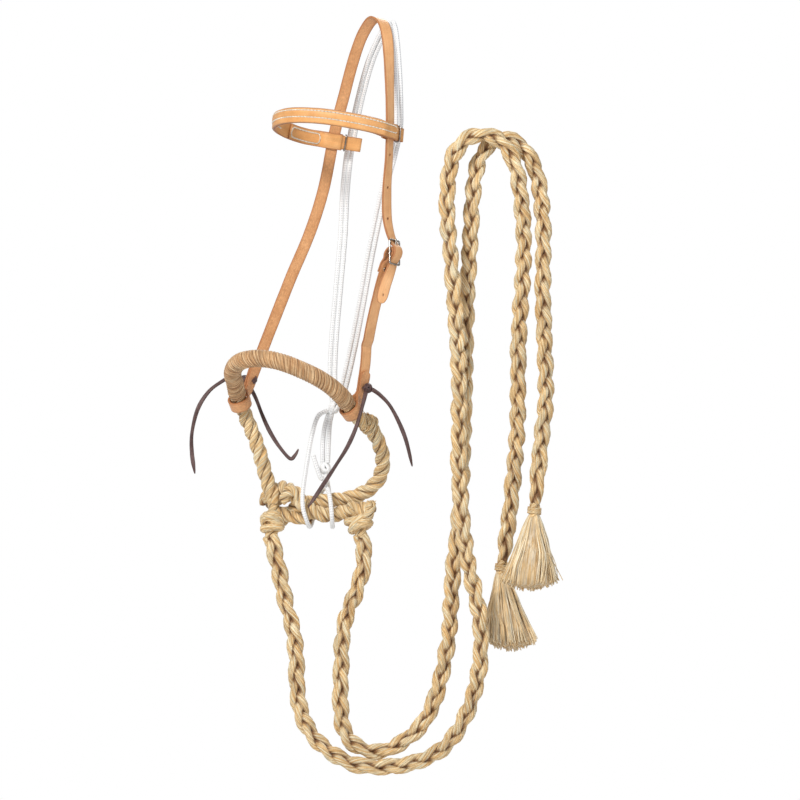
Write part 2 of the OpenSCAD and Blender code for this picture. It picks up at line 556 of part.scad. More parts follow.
// The bight through the slot and the knot on the outer face
module thong_knot(slot_c, knot_c, out) {
    color(thong_brown) union() {
        translate(knot_c) sphere(r = thong_knot_r, $fn = 32);
        stand((slot_c - 5 * out + knot_c) / 2, [0, 0, 1], out)
            cylinder(h = norm(knot_c - slot_c + 5 * out), r = thong_r, center = true, $fn = 20);
    }
}
module far_thong_knot() { thong_knot(far_slot, far_knot_c, far_out); }
module near_thong_knot() { thong_knot(near_slot, near_knot_c, near_out); }
far_front_route = [[-188, 71, -492], [-199, 70, -492], [-213, 66, -499], [-231, 60, -513], [-246, 53, -537],
    [-254, 47, -570], [-254, 44, -598], [-250, 42, -626]];
far_back_route = [[-177, 73, -502], [-172, 77, -510], [-165, 76, -524], [-157, 68, -545], [-147, 59, -567],
    [-134, 52, -588], [-119, 47, -605], [-112, 45, -601], [-107, 44, -592]];
near_front_route = [[-14, -22, -514], [-17, -33, -526], [-22, -41, -544], [-29, -44, -566], [-40, -43, -590],
    [-55, -39, -614], [-72, -34, -640], [-94, -28, -673]];
near_back_route = [[-5, -19, -510], [5, -26, -517], [19, -33, -532], [32, -37, -556], [42, -38, -582],
    [50, -36, -616]];
module thong_tail(route) {
    n = len(route);
    color(thong_brown)
        cord(curve(route, 2), [for (i = [0 : 2 * n - 2]) i < 2 * n - 5 ? thong_r : thong_r * 0.7], 8);
}
module far_thong_front_tail() { thong_tail(far_front_route); }
module far_thong_back_tail() { thong_tail(far_back_route); }
module near_thong_front_tail() { thong_tail(near_front_route); }
module near_thong_back_tail() { thong_tail(near_back_route); }

crown_strap();
near_cheek_strap();
buckle_frame();
buckle_tongue();
fold_screw_post();
fold_screw();
browband_strap();
browband_face();
browband_stitching();
near_brow_ring();
far_brow_ring();
noseband_rope();
noseband_wrap();
leg_collar();
chin_rope();
left_rein_knot();
right_rein_knot();
left_rein();
right_rein();
left_rein_tie();
right_rein_tie();
left_tassel();
right_tassel();
throat_cord();
upper_cord_knot();
lower_cord_knot();
drop_cords();
heel_cord();
tie_cord();
near_thong_knot();
near_thong_front_tail();
near_thong_back_tail();
far_thong_knot();
far_thong_front_tail();
far_thong_back_tail();
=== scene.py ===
"""Bitless hackamore hung up by its crown. Routes are in millimetres and become metres as a mesh is made."""
import math
import random

import bpy
import numpy as np
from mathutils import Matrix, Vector


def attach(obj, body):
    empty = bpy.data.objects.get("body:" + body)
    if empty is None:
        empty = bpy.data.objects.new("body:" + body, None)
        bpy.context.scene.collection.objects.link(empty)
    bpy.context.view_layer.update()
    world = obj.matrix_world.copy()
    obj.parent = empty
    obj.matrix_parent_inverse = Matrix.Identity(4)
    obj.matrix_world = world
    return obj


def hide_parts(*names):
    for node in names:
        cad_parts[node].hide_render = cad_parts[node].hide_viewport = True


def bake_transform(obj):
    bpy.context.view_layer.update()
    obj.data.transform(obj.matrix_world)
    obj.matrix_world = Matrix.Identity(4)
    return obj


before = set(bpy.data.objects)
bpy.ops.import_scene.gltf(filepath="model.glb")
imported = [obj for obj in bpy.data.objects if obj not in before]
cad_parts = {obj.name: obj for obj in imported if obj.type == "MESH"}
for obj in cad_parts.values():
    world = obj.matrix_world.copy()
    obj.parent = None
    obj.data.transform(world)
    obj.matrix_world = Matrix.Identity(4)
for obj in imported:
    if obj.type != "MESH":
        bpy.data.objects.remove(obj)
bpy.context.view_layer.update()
MM = 0.001
TAU = 2 * math.pi


# ---------------------------------------------------------------- small tools
def vec(*v):
    return np.array(v, float)


def unit(v):
    v = np.asarray(v, float)
    return v / np.linalg.norm(v)


def across(v, t):
    v = np.asarray(v, float)
    return unit(v - (v @ t) * t)


def curve(p, n):
    """A smooth curve through the rows of p, each stretch cut into n steps."""
    p = np.asarray(p, float)
    last = len(p) - 1
    out = []
    for i in range(last):
        a, b, c, d = p[max(i - 1, 0)], p[i], p[i + 1], p[min(i + 2, last)]
        for k in range(n):
            t = k / n
            out.append(0.5 * (2 * b + (c - a) * t + (2 * a - 5 * b + 4 * c - d) * t * t
                              + (3 * b - a - 3 * c + d) * t * t * t))
    out.append(p[-1])
    return np.array(out)


def lengths(p):
    steps = np.linalg.norm(np.diff(p[:, :3], axis=0), axis=1)
    return np.r_[0, np.cumsum(steps)]


def dense(p, step):
    """The curve through p cut into even steps, and the distance along it."""
    fine = curve(p, 14)
    d = lengths(fine)
    s = np.linspace(0, d[-1], max(3, int(round(d[-1] / step)) + 1))
    return np.column_stack([np.interp(s, d, fine[:, k]) for k in range(fine.shape[1])]), s


def rows_unit(v):
    return v / np.linalg.norm(v, axis=1, keepdims=True)


def headings(p):
    return rows_unit(np.gradient(p, axis=0))


def rows_across(v, t):
    return rows_unit(v - np.sum(v * t, axis=1, keepdims=True) * t)


def carried(t):
    """Normals carried along the headings without twist."""
    n = across(vec(0, 0, 1) if abs(t[0][2]) < 0.9 else vec(1, 0, 0), t[0])
    out = [n]
    for i in range(1, len(t)):
        n = across(n, t[i])
        out.append(n)
    return np.array(out)


def ripple(s, seed, wave):
    """A smooth wandering value between about -1 and 1 along s."""
    r = random.Random(seed)
    out = np.zeros_like(s)
    for k in (1.0, 1.7, 2.9):
        out += math.pow(k, -0.7) * np.sin(TAU * k * s / wave + r.uniform(0, TAU))
    return out / 1.9


# ---------------------------------------------------------------- meshes
class Pile:
    """Gathers swept parts into one mesh, with what the materials read: where a point is on its strand,
    and how much it is darkened, as worn leather edges and as painted shade in grooves, hollows and between
    strands."""

    def __init__(self):
        self.v, self.f, self.run, self.tint, self.mat = [], [], [], [], []
        self.count = 0

    def add(self, verts, faces, run, tint, mats):
        self.v.append(verts)
        self.f += [tuple(int(i) + self.count for i in q) for q in faces]
        self.run.append(run)
        self.tint.append(tint)
        self.mat += list(mats)
        self.count += len(verts)

    def sweep(self, p, n, b, section, s=None, seed=0.0, tint=None, mat=0, closed=False, dome=0.35):
        """section holds (x, y) pairs, for every point of p, in the directions n and b."""
        m, k = section.shape[:2]
        s = lengths(p) if s is None else s
        verts = p[:, None, :] + section[:, :, :1] * n[:, None, :] + section[:, :, 1:] * b[:, None, :]
        run = np.zeros((m, k, 3))
        run[:, :, 0] = s[:, None]
        run[:, :, 1] = section[:, :, 0] + 37.0 * seed
        run[:, :, 2] = section[:, :, 1]
        tint = np.zeros((m, k)) if tint is None else np.broadcast_to(tint, (m, k))
        rows = m if closed else m - 1
        faces = []
        mats = []
        mat_row = mat if isinstance(mat, (list, np.ndarray)) else [mat] * k
        for j in range(rows):
            j2 = (j + 1) % m
            for i in range(k):
                i2 = (i + 1) % k
                faces.append((j * k + i, j * k + i2, j2 * k + i2, j2 * k + i))
                mats.append(mat_row[i])
        verts, run, tint = verts.reshape(-1, 3), run.reshape(-1, 3), tint.reshape(-1)
        if not closed:
            t = headings(p)
            for j, sign in ((0, -1), (m - 1, 1)):
                size = np.abs(section[j]).max() * dome
                tip = p[j] + sign * size * t[j] + section[j].mean(axis=0)[0] * n[j]
                verts = np.vstack([verts, tip + section[j].mean(axis=0)[1] * b[j]])
                run = np.vstack([run, run[j * k:j * k + k].mean(axis=0)])
                tint = np.r_[tint, 0.3]
                tip_i = len(verts) - 1
                for i in range(k):
                    a, c = j * k + i, j * k + (i + 1) % k
                    faces.append((tip_i, c, a) if sign < 0 else (tip_i, a, c))
                    mats.append(mat_row[i])
        self.add(verts, faces, run, tint, mats)

    def build(self, name, materials, smooth=True):
        mesh = bpy.data.meshes.new(name)
        verts = np.vstack(self.v) * MM
        mesh.from_pydata(verts.tolist(), [], self.f)
        mesh.polygons.foreach_set("material_index", self.mat)
        mesh.polygons.foreach_set("use_smooth", [smooth] * len(self.f))
        run = mesh.attributes.new("run", "FLOAT_VECTOR", "POINT")
        run.data.foreach_set("vector", (np.vstack(self.run) * MM).ravel())
        tint = mesh.attributes.new("tint", "FLOAT", "POINT")
        tint.data.foreach_set("value", np.concatenate(self.tint))
        for m in materials:
            mesh.materials.append(m)
        mesh.update()
        obj = bpy.data.objects.new(name, mesh)
        bpy.context.scene.collection.objects.link(obj)
        return obj


def circle(m, k, r):
    """Round sections of radius r, one number or one for each of the m points."""
    a = np.linspace(0, TAU, k, endpoint=False)
    r = np.broadcast_to(np.asarray(r, float).reshape(-1, 1), (m, 1))
    return np.stack([r * np.cos(a), r * np.sin(a)], axis=2)


def put(obj, body, slot, *nodes):
    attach(obj, body)
    if nodes:
        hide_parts(*nodes)
    return obj


# ---------------------------------------------------------------- materials
def linear(r, g, b):
    def one(c):
        c = c / 255
        return c / 12.92 if c <= 0.04045 else ((c + 0.055) / 1.055) ** 2.4
    return (one(r), one(g), one(b), 1.0)


class Graph:
    def __init__(self, name):
        self.m = bpy.data.materials.new(name)
        self.m.use_nodes = True
        self.nodes = self.m.node_tree.nodes
        self.links = self.m.node_tree.links
        self.shader = self.nodes["Principled BSDF"]

    def node(self, kind, **settings):
        n = self.nodes.new(kind)
        for key, value in settings.items():
            setattr(n, key, value)
        return n

    def set(self, **values):
        for key, value in values.items():
            self.shader.inputs[key.replace("_", " ")].default_value = value

    def attribute(self, name):
        return self.node("ShaderNodeAttribute", attribute_name=name)

    def place(self, source, scale):
        """Coordinates: "run" along a strand, or "object" in space, scaled."""
        if source == "run":
            out = self.attribute("run").outputs["Vector"]
        else:
            out = self.node("ShaderNodeTexCoord").outputs["Object"]
        mapping = self.node("ShaderNodeMapping")
        mapping.inputs["Scale"].default_value = scale
        self.links.new(out, mapping.inputs["Vector"])
        return mapping.outputs["Vector"]

    def noise(self, place, scale, detail=3.0, rough=0.6, distort=0.0):
        n = self.node("ShaderNodeTexNoise")
        n.inputs["Scale"].default_value = scale
        n.inputs["Detail"].default_value = detail
        n.inputs["Roughness"].default_value = rough
        n.inputs["Distortion"].default_value = distort
        self.links.new(place, n.inputs["Vector"])
        return n.outputs["Fac"]

    def cells(self, place, scale, feature="F1"):
        n = self.node("ShaderNodeTexVoronoi", feature=feature)
        n.inputs["Scale"].default_value = scale
        self.links.new(place, n.inputs["Vector"])
        return n.outputs["Distance"]

    def ramp(self, fac, *stops):
        n = self.node("ShaderNodeValToRGB")
        elements = n.color_ramp.elements
        while len(elements) < len(stops):
            elements.new(0.5)
        for e, (at, colour) in zip(elements, stops):
            e.position = at
            e.color = colour if len(colour) == 4 else (*colour, 1)
        self.links.new(fac, n.inputs["Fac"])
        return n.outputs["Color"]

    def grey(self, fac, low, high, a=0.0, b=1.0):
        return self.ramp(fac, (a, (low,) * 3), (b, (high,) * 3))

    def mix(self, kind, fac, a, b):
        n = self.node("ShaderNodeMix", data_type="RGBA", blend_type=kind)
        if isinstance(fac, float):
            n.inputs[0].default_value = fac
        else:
            self.links.new(fac, n.inputs[0])
        for socket, value in ((n.inputs[6], a), (n.inputs[7], b)):
            if isinstance(value, tuple):
                socket.default_value = value
            else:
                self.links.new(value, socket)
        return n.outputs[2]

    def bump(self, height, distance, strength=1.0, after=None):
        n = self.node("ShaderNodeBump")
        n.inputs["Strength"].default_value = strength
        n.inputs["Distance"].default_value = distance
        self.links.new(height, n.inputs["Height"])
        if after is not None:
            self.links.new(after, n.inputs["Normal"])
        return n.outputs["Normal"]

    def out(self, colour=None, rough=None, normal=None):
        for socket, value in (("Base Color", colour), ("Roughness", rough), ("Normal", normal)):
            if value is not None:
                self.links.new(value, self.shader.inputs[socket])
        return self.m


def fibre_material(name, dark, mid, light, deep, along=55.0, cross=1500.0, sheen=0.15, depth=0.0007):
    """Long fibres along each strand, lighter and darker, in patches, with shade in the grooves."""
    g = Graph(name)
    thread = g.noise(g.place("run", (along, cross, cross)), 1.0, 2.5, 0.6)
    bundle = g.noise(g.place("run", (along * 0.45, cross * 0.42, cross * 0.42)), 1.0, 2.0, 0.55)
    patch = g.noise(g.place("object", (1, 1, 1)), 42.0, 3.0)
    colour = g.ramp(bundle, (0.36, dark), (0.49, mid), (0.63, light))
    colour = g.mix("MULTIPLY", 0.8, colour, g.grey(thread, 0.50, 1.20, 0.33, 0.66))
    colour = g.mix("MULTIPLY", 0.55, colour, g.grey(patch, 0.66, 1.12, 0.34, 0.66))
    # Painted shade: the tint mixes in the deep colour in grooves and between strands.
    colour = g.mix("MIX", g.attribute("tint").outputs["Fac"], colour, deep)
    normal = g.bump(bundle, depth * 2.0, 0.9)
    normal = g.bump(thread, depth, 1.0, normal)
    g.set(Sheen_Weight=sheen, Sheen_Roughness=0.45, Specular_IOR_Level=0.4)
    return g.out(colour, g.grey(thread, 0.50, 0.78, 0.3, 0.7), normal)


def leather_material(name, dark, mid, light, edge, rough=(0.42, 0.60), grain=1.0):
    """Smooth tanned grain with pores, faint mottling and creases; the tint darkens worn, burnished edges and
    painted shade.
    """
    g = Graph(name)
    space = g.place("object", (1, 1, 1))
    mottle = g.noise(space, 55.0, 5.0, 0.6)
    fine = g.noise(space, 900.0, 3.0, 0.7)
    pores = g.cells(space, 1500.0)
    streak = g.noise(g.place("run", (18, 420, 420)), 1.0, 3.0, 0.6)
    colour = g.ramp(mottle, (0.30, dark), (0.52, mid), (0.75, light))
    colour = g.mix("MULTIPLY", 0.55, colour, g.grey(fine, 0.72, 1.12, 0.3, 0.7))
    colour = g.mix("MULTIPLY", 0.45, colour, g.grey(streak, 0.76, 1.10, 0.3, 0.7))
    # The tint mixes in the last colour: worn edges on the straps, painted shade on the laces and browband
    # face.
    colour = g.mix("MIX", g.attribute("tint").outputs["Fac"], colour, edge)
    normal = g.bump(pores, 0.00022 * grain, 0.55)
    normal = g.bump(fine, 0.00018 * grain, 0.6, normal)
    normal = g.bump(mottle, 0.0012, 0.25, normal)
    g.set(Specular_IOR_Level=0.42, Sheen_Weight=0.05)
    return g.out(colour, g.grey(mottle, rough[0], rough[1], 0.3, 0.7), normal)


def flesh_material():
    """The split side of the strap: matt, with short raised fibres."""
    g = Graph("flesh_side")
    space = g.place("object", (1, 1, 1))
    nap = g.noise(g.place("run", (260, 620, 620)), 1.0, 4.0, 0.75)
    mottle = g.noise(space, 70.0, 4.0)
    colour = g.ramp(mottle, (0.30, linear(204, 146, 98)), (0.70, linear(222, 166, 116)))
    colour = g.mix("MULTIPLY", 0.6, colour, g.grey(nap, 0.58, 1.22, 0.34, 0.66))
    colour = g.mix("MIX", g.attribute("tint").outputs["Fac"], colour, linear(166, 104, 62))
    g.set(Sheen_Weight=0.3, Sheen_Roughness=0.5, Specular_IOR_Level=0.25)
    return g.out(colour, g.grey(nap, 0.74, 0.92), g.bump(nap, 0.0005, 0.8))


def edge_material():
    """The cut edge: darker, with the layers of the hide showing as faint lines."""
    g = Graph("cut_edge")
    layer = g.noise(g.place("run", (60, 2600, 2600)), 1.0, 3.0)
    colour = g.ramp(layer, (0.30, linear(150, 92, 54)), (0.70, linear(196, 134, 86)))
    g.set(Specular_IOR_Level=0.4)
    return g.out(colour, g.grey(layer, 0.45, 0.65), g.bump(layer, 0.0003, 0.6))


def nickel_material():
    """Plated wire with fine scratches, dull patches and a little tarnish in them."""
    g = Graph("nickel_plate")
    space = g.place("object", (1, 1, 1))
    patch = g.noise(space, 260.0, 4.0, 0.65)
    scratch = g.noise(g.place("object", (300, 4200, 900)), 1.0, 2.0)
    colour = g.ramp(patch, (0.28, linear(92, 84, 74)), (0.46, linear(158, 154, 148)),
                    (0.8, linear(186, 184, 180)))
    g.set(Metallic=1.0, Specular_IOR_Level=0.5)
    normal = g.bump(scratch, 0.00012, 0.5)
    return g.out(colour, g.grey(patch, 0.36, 0.17, 0.3, 0.65), normal)


def braid_material():
    """White cotton braid: bright ridges, painted grey shade in the hollows and a little soiling."""
    g = Graph("white_braid")
    yarn = g.noise(g.place("run", (500, 2200, 2200)), 1.0, 3.0)
    soil = g.noise(g.place("object", (1, 1, 1)), 30.0, 4.0)
    colour = g.ramp(yarn, (0.25, linear(232, 233, 235)), (0.6, linear(250, 250, 249)))
    colour = g.mix("MULTIPLY", 0.4, colour, g.grey(soil, 0.86, 1.0, 0.32, 0.6))
    # Painted shade: the tint greys the hollows of the weave.
    colour = g.mix("MIX", g.attribute("tint").outputs["Fac"], colour, linear(128, 131, 137))
    g.set(Sheen_Weight=0.3, Sheen_Roughness=0.4, Specular_IOR_Level=0.3)
    return g.out(colour, g.grey(yarn, 0.65, 0.85), g.bump(yarn, 0.0003, 0.7))


GRAIN = leather_material("tan_grain", linear(226, 166, 112), linear(234, 177, 123), linear(240, 188, 136),
                         linear(164, 100, 58), (0.34, 0.50))
# On the browband face the last colour also serves as painted shade in the stitch grooves and underneath.
BROW = leather_material("browband_grain", linear(221, 157, 94), linear(230, 168, 104), linear(238, 181, 120),
                        linear(138, 80, 42), (0.32, 0.48))
FLESH = flesh_material()
EDGE = edge_material()
NICKEL = nickel_material()
# The last colour of each fibre material is the painted shade that the tint mixes in.
ROPE = fibre_material("manila_rope", linear(226, 178, 114), linear(248, 213, 156), linear(255, 242, 206),
                      linear(118, 76, 38), along=45.0, cross=1350.0)
WRAP = fibre_material("fibre_wrap", linear(166, 118, 74), linear(210, 163, 114), linear(240, 204, 158),
                      linear(92, 58, 32), along=60.0, cross=1200.0)
BRAID = braid_material()
THREAD = fibre_material("stitch_thread", linear(222, 212, 190), linear(240, 233, 216), linear(250, 246, 236),
                        linear(190, 176, 150), along=300.0, cross=4200.0, depth=0.0002)
# The thong's last colour is what the tint mixes in: painted shade in the lace hollows and along its edges.
THONG = leather_material("thong_leather", linear(82, 58, 56), linear(104, 78, 75), linear(138, 110, 105),
                         linear(48, 32, 32), (0.40, 0.60), 1.4)
TASSEL = fibre_material("tassel_fibre", linear(232, 194, 138), linear(248, 222, 176), linear(255, 242, 214),
                        linear(150, 106, 60), along=30.0, cross=900.0)


# ---------------------------------------------------------------- camera, light and floor
def camera():
    data = bpy.data.cameras.new("view")
    data.type = "ORTHO"
    data.ortho_scale = 1.104
    data.clip_end = 60
    cam = bpy.data.objects.new("view", data)
    cam.location = (0.0331, -6.0, -0.5244)
    cam.rotation_euler = (math.radians(90), 0, 0)
    bpy.context.scene.collection.objects.link(cam)
    bpy.context.scene.camera = cam


def area_light(name, place, aim, size, power, colour=(1, 1, 1)):
    data = bpy.data.lights.new(name, "AREA")
    data.shape = "DISK"
    data.size = size
    data.energy = power
    data.color = colour
    light = bpy.data.objects.new(name, data)
    light.location = place
    light.rotation_euler = (Vector(aim) - Vector(place)).to_track_quat("-Z", "Y").to_euler()
    bpy.context.scene.collection.objects.link(light)


def studio():
    world = bpy.data.worlds.new("studio")
    bpy.context.scene.world = world
    world.use_nodes = True
    nodes, links = world.node_tree.nodes, world.node_tree.links
    seen = nodes["Background"]
    seen.inputs["Color"].default_value = (1, 1, 1, 1)
    seen.inputs["Strength"].default_value = 1.0
    lit = nodes.new("ShaderNodeBackground")
    lit.inputs["Color"].default_value = (0.95, 0.97, 1, 1)
    lit.inputs["Strength"].default_value = 0.42
    path = nodes.new("ShaderNodeLightPath")
    blend = nodes.new("ShaderNodeMixShader")
    links.new(path.outputs["Is Camera Ray"], blend.inputs[0])
    links.new(lit.outputs[0], blend.inputs[1])
    links.new(seen.outputs[0], blend.inputs[2])
    links.new(blend.outputs[0], nodes["World Output"].inputs["Surface"])
    area_light("key", (-1.6, -2.6, 1.5), (0, 0, -0.45), 0.8, 100, (1, 0.985, 0.96))
    area_light("fill", (2.2, -2.4, 0.2), (0, 0, -0.5), 1.6, 20, (0.97, 0.985, 1))
    area_light("rim", (0.6, 2.4, 1.6), (0, 0, -0.4), 1.4, 40)
    bpy.context.scene.view_settings.view_transform = "Standard"


def floor():
    g = Graph("pale_floor")
    grain = g.noise(g.place("object", (1, 1, 1)), 12.0, 4.0)
    g.out(g.grey(grain, 0.80, 0.86), g.grey(grain, 0.75, 0.85))
    pile = Pile()
    corners = vec(-3000, -3000, -1120, 3000, -3000, -1120, 3000, 3000, -1120, -3000, 3000, -1120)
    pile.add(corners.reshape(4, 3), [(0, 1, 2, 3)], np.zeros((4, 3)), np.zeros(4), [0])
    pile.build("floor", [g.m], smooth=False)


camera()
studio()
floor()


# ---------------------------------------------------------------- cords, plaits and laid rope
def cord_frames(route, step):
    p, s = dense(route, step)
    t = headings(p)
    n = carried(t)
    return p, s, n, np.cross(t, n)


def flat_frames(route, step, turn=0.0, wave=400.0):
    """Frames whose first normal stays in the plane that the camera looks at, turning slowly."""
    p, s = dense(route, step)
    t = headings(p)
    n = rows_across(np.cross(np.tile(vec(0, 1, 0), (len(p), 1)), t), t)
    b = np.cross(t, n)
    a = (turn * np.sin(TAU * s / wave))[:, None]
    return p, s, n * np.cos(a) + b * np.sin(a), b * np.cos(a) - n * np.sin(a)


def strand(pile, centre, s, radial, rx, ry, seed, sides=20, lobes=5, twist=-0.45, relief=0.06, core=None,
           reach=10.0):
    """One twisted bundle of fibres along centre: ridges run round it as it goes."""
    t = headings(centre)
    n = rows_across(radial, t)
    b = np.cross(t, n)
    a = np.linspace(0, TAU, sides, endpoint=False)[None, :]
    ridge = np.cos(lobes * a + twist * s[:, None] + seed)
    fine = np.cos((lobes * 2 + 1) * a - 0.5 * twist * s[:, None] + 2.3 * seed)
    grow = 1 + relief * (ridge - 1) + 0.4 * relief * (fine - 1)
    swell = 1 + 0.06 * ripple(s, int(seed * 97) + 5, 60.0)[:, None]
    section = np.stack([np.reshape(rx, (-1, 1)) * grow * swell * np.cos(a),
                        np.reshape(ry, (-1, 1)) * grow * swell * np.sin(a)], axis=2)
    # depth is painted shade, carried by the tint: darker in the grooves between the ridges and, with a core,
    # on the side that faces the other strands.
    depth = 0.55 * np.clip(0.25 - 0.75 * ridge, 0, 1)
    turn = twist / lobes * s[:, None]
    x, y = section[:, :, 0], section[:, :, 1]
    if core is not None:
        place = centre[:, None, :] + x[:, :, None] * n[:, None, :] + y[:, :, None] * b[:, None, :]
        inward = np.linalg.norm(place - core[:, None, :], axis=2) / reach
        depth = np.clip(depth * 0.6 + 0.95 * np.clip((0.84 - inward) / 0.26, 0, 1), 0, 0.95)
    pile.sweep(centre, n, b, section, s=s, seed=seed, tint=depth)
    # The fibres turn with the twist, so the place on the strand turns with it
    m, k = section.shape[:2]
    run = pile.run[-1]
    run[:m * k, 1] = (x * np.cos(turn) - y * np.sin(turn)).ravel() + 37.0 * seed
    run[:m * k, 2] = (x * np.sin(turn) + y * np.cos(turn)).ravel()


def laid_rope(pile, route, radius, pitch, strands=3, step=1.5, seed=1.0, start=0.0):
    """Strands laid round each other in a plain right-hand twist."""
    p, s, n, b = cord_frames(route, step)
    rs = radius * 0.515
    off = radius - rs
    for k in range(strands):
        a = (start + TAU * (s / pitch + k / strands))[:, None]
        out = n * np.cos(a) + b * np.sin(a)
        strand(pile, p + off * out, s, out, rs, rs, seed + k * 1.3, relief=0.035, core=p, reach=radius)
    return p


def plait(pile, route, wide, deep, period, rx, ry, step=2.0, seed=1.0):
    """Three strands plaited flat: each crosses from side to side, over one and under the next."""
    p, s, n, b = flat_frames(route, step, 0.45, 430.0)
    ease = s + 4.0 * ripple(s, int(seed * 31), 260.0)
    slim = 1 - 0.30 * np.clip((s - s[-1] + 45) / 45, 0, 1) ** 1.5
    for k in range(3):
        a = (TAU * (ease / period + k / 3))[:, None]
        spread = 1 + 0.07 * ripple(s, int(seed * 13) + k, 180.0)[:, None]
        centre = p + slim[:, None] * (wide * spread * np.cos(a) * n + deep * np.sin(2 * a) * b)
        turn = slim * (1 + 0.07 * ripple(s, int(seed * 7) + 3 * k, 90.0))
        strand(pile, centre, s, n, rx * turn, ry * turn, seed + k * 1.7, sides=24, lobes=6, twist=0.62,
               relief=0.07,
               core=p, reach=8.6)
    return p


def braided(pile, route, radius, step=0.9, seed=1.0, sides=16, lead=20.0):
    """Sixteen-plait cord: two sets of yarns cross as diamonds."""
    p, s, n, b = cord_frames(route, step)
    a = np.linspace(0, TAU, sides, endpoint=False)[None, :]
    run = TAU * s[:, None] / lead
    weave = np.cos(3 * a + run * 3) * np.cos(3 * a - run * 3)
    lumps = 1 + 0.025 * ripple(s, int(seed * 11), 35.0)[:, None]
    r = radius * lumps * (0.93 + 0.10 * weave)
    section = np.stack([r * np.cos(a), r * np.sin(a)], axis=2)
    # The tint greys the hollows of the weave as painted shade.
    pile.sweep(p, n, b, section, s=s, seed=seed, tint=0.8 * np.clip(-0.1 - weave, 0, 1))
    return p


LEFT_REIN = [[-145, 60, -712.5], [-134, 58, -758], [-126, 54, -799], [-115, 48, -839], [-110, 40, -880],
             [-109, 32, -920], [-103, 24, -956], [-90, 16, -984], [-65, 8, -1009], [-30, 0, -1027],
             [12, -6, -1031], [55, -10, -1024], [88, -12, -1008], [112, -14, -982], [130, -14, -945],
             [141, -14, -903], [145, -14, -864], [143, -14, -825], [136, -14, -788], [127, -14, -749],
             [119, -13, -690], [114, -13, -607], [115, -12, -524], [112, -12, -440], [107, -12, -370],
             [100, -12, -290], [98, -12, -240], [105, -11, -193], [122, -10, -167], [146, -9, -158],
             [170, -8, -166], [190, -5, -195], [200, 0, -245], [204, 5, -300], [202, 9, -360],
             [197, 13, -440], [196, 16, -524], [194, 19, -580], [190, 21, -629], [185, 23, -675],
             [180, 24, -715], [175, 24, -747]]
RIGHT_REIN = [[-20, 28, -711], [-16, 25, -746], [-27, 22, -788], [-40, 20, -820], [-46, 18, -853],
              [-48, 17, -894], [-49, 16, -934], [-47, 15, -967], [-38, 14, -991], [-18, 13, -1006],
              [8, 13, -1009], [34, 13, -998], [61, 13, -975], [79, 13, -943], [92, 13, -897],
              [101, 13, -847], [104, 13, -799], [107, 12, -755], [112, 12, -716], [118, 12, -640],
              [121, 12, -560], [123, 12, -480], [125, 12, -400], [129, 12, -317], [133, 12, -248],
              [140, 13, -200], [158, 14, -170], [182, 14, -164], [207, 12, -182], [224, 9, -221],
              [231, 6, -290], [230, 2, -370], [233, -3, -450], [234, -8, -524], [228, -12, -580],
              [223, -15, -630], [220, -17, -668]]
LEFT_TIE = vec(173.6, 24, -756)
RIGHT_TIE = vec(218.6, -17.6, -677)
TIE_H = 9.0


def rein_tie(name, centre, lean):
    """Five turns of twisted strand bind the end of the plait."""
    pile = Pile()
    a = np.linspace(0, TAU * 4.6, 210)
    axis = unit(vec(math.sin(math.radians(lean)), 0, math.cos(math.radians(lean))))
    side = across(vec(1, 0, 0), axis)
    out = np.cos(a)[:, None] * side + np.sin(a)[:, None] * np.cross(axis, side)
    up = np.linspace(-TIE_H / 2 + 0.2, TIE_H / 2 - 0.2, len(a))[:, None]
    p = centre + 8.2 * out + up * axis
    strand(pile, p, lengths(p), out, 1.9, 1.35, 3.1, sides=12, lobes=3, twist=1.1)
    laid_rope(pile, [centre - 9 * axis, centre, centre + 9 * axis], 7.8, 40, seed=5.1)
    return put(pile.build(name + "_mesh", [ROPE]), "headstall", "rope", name)


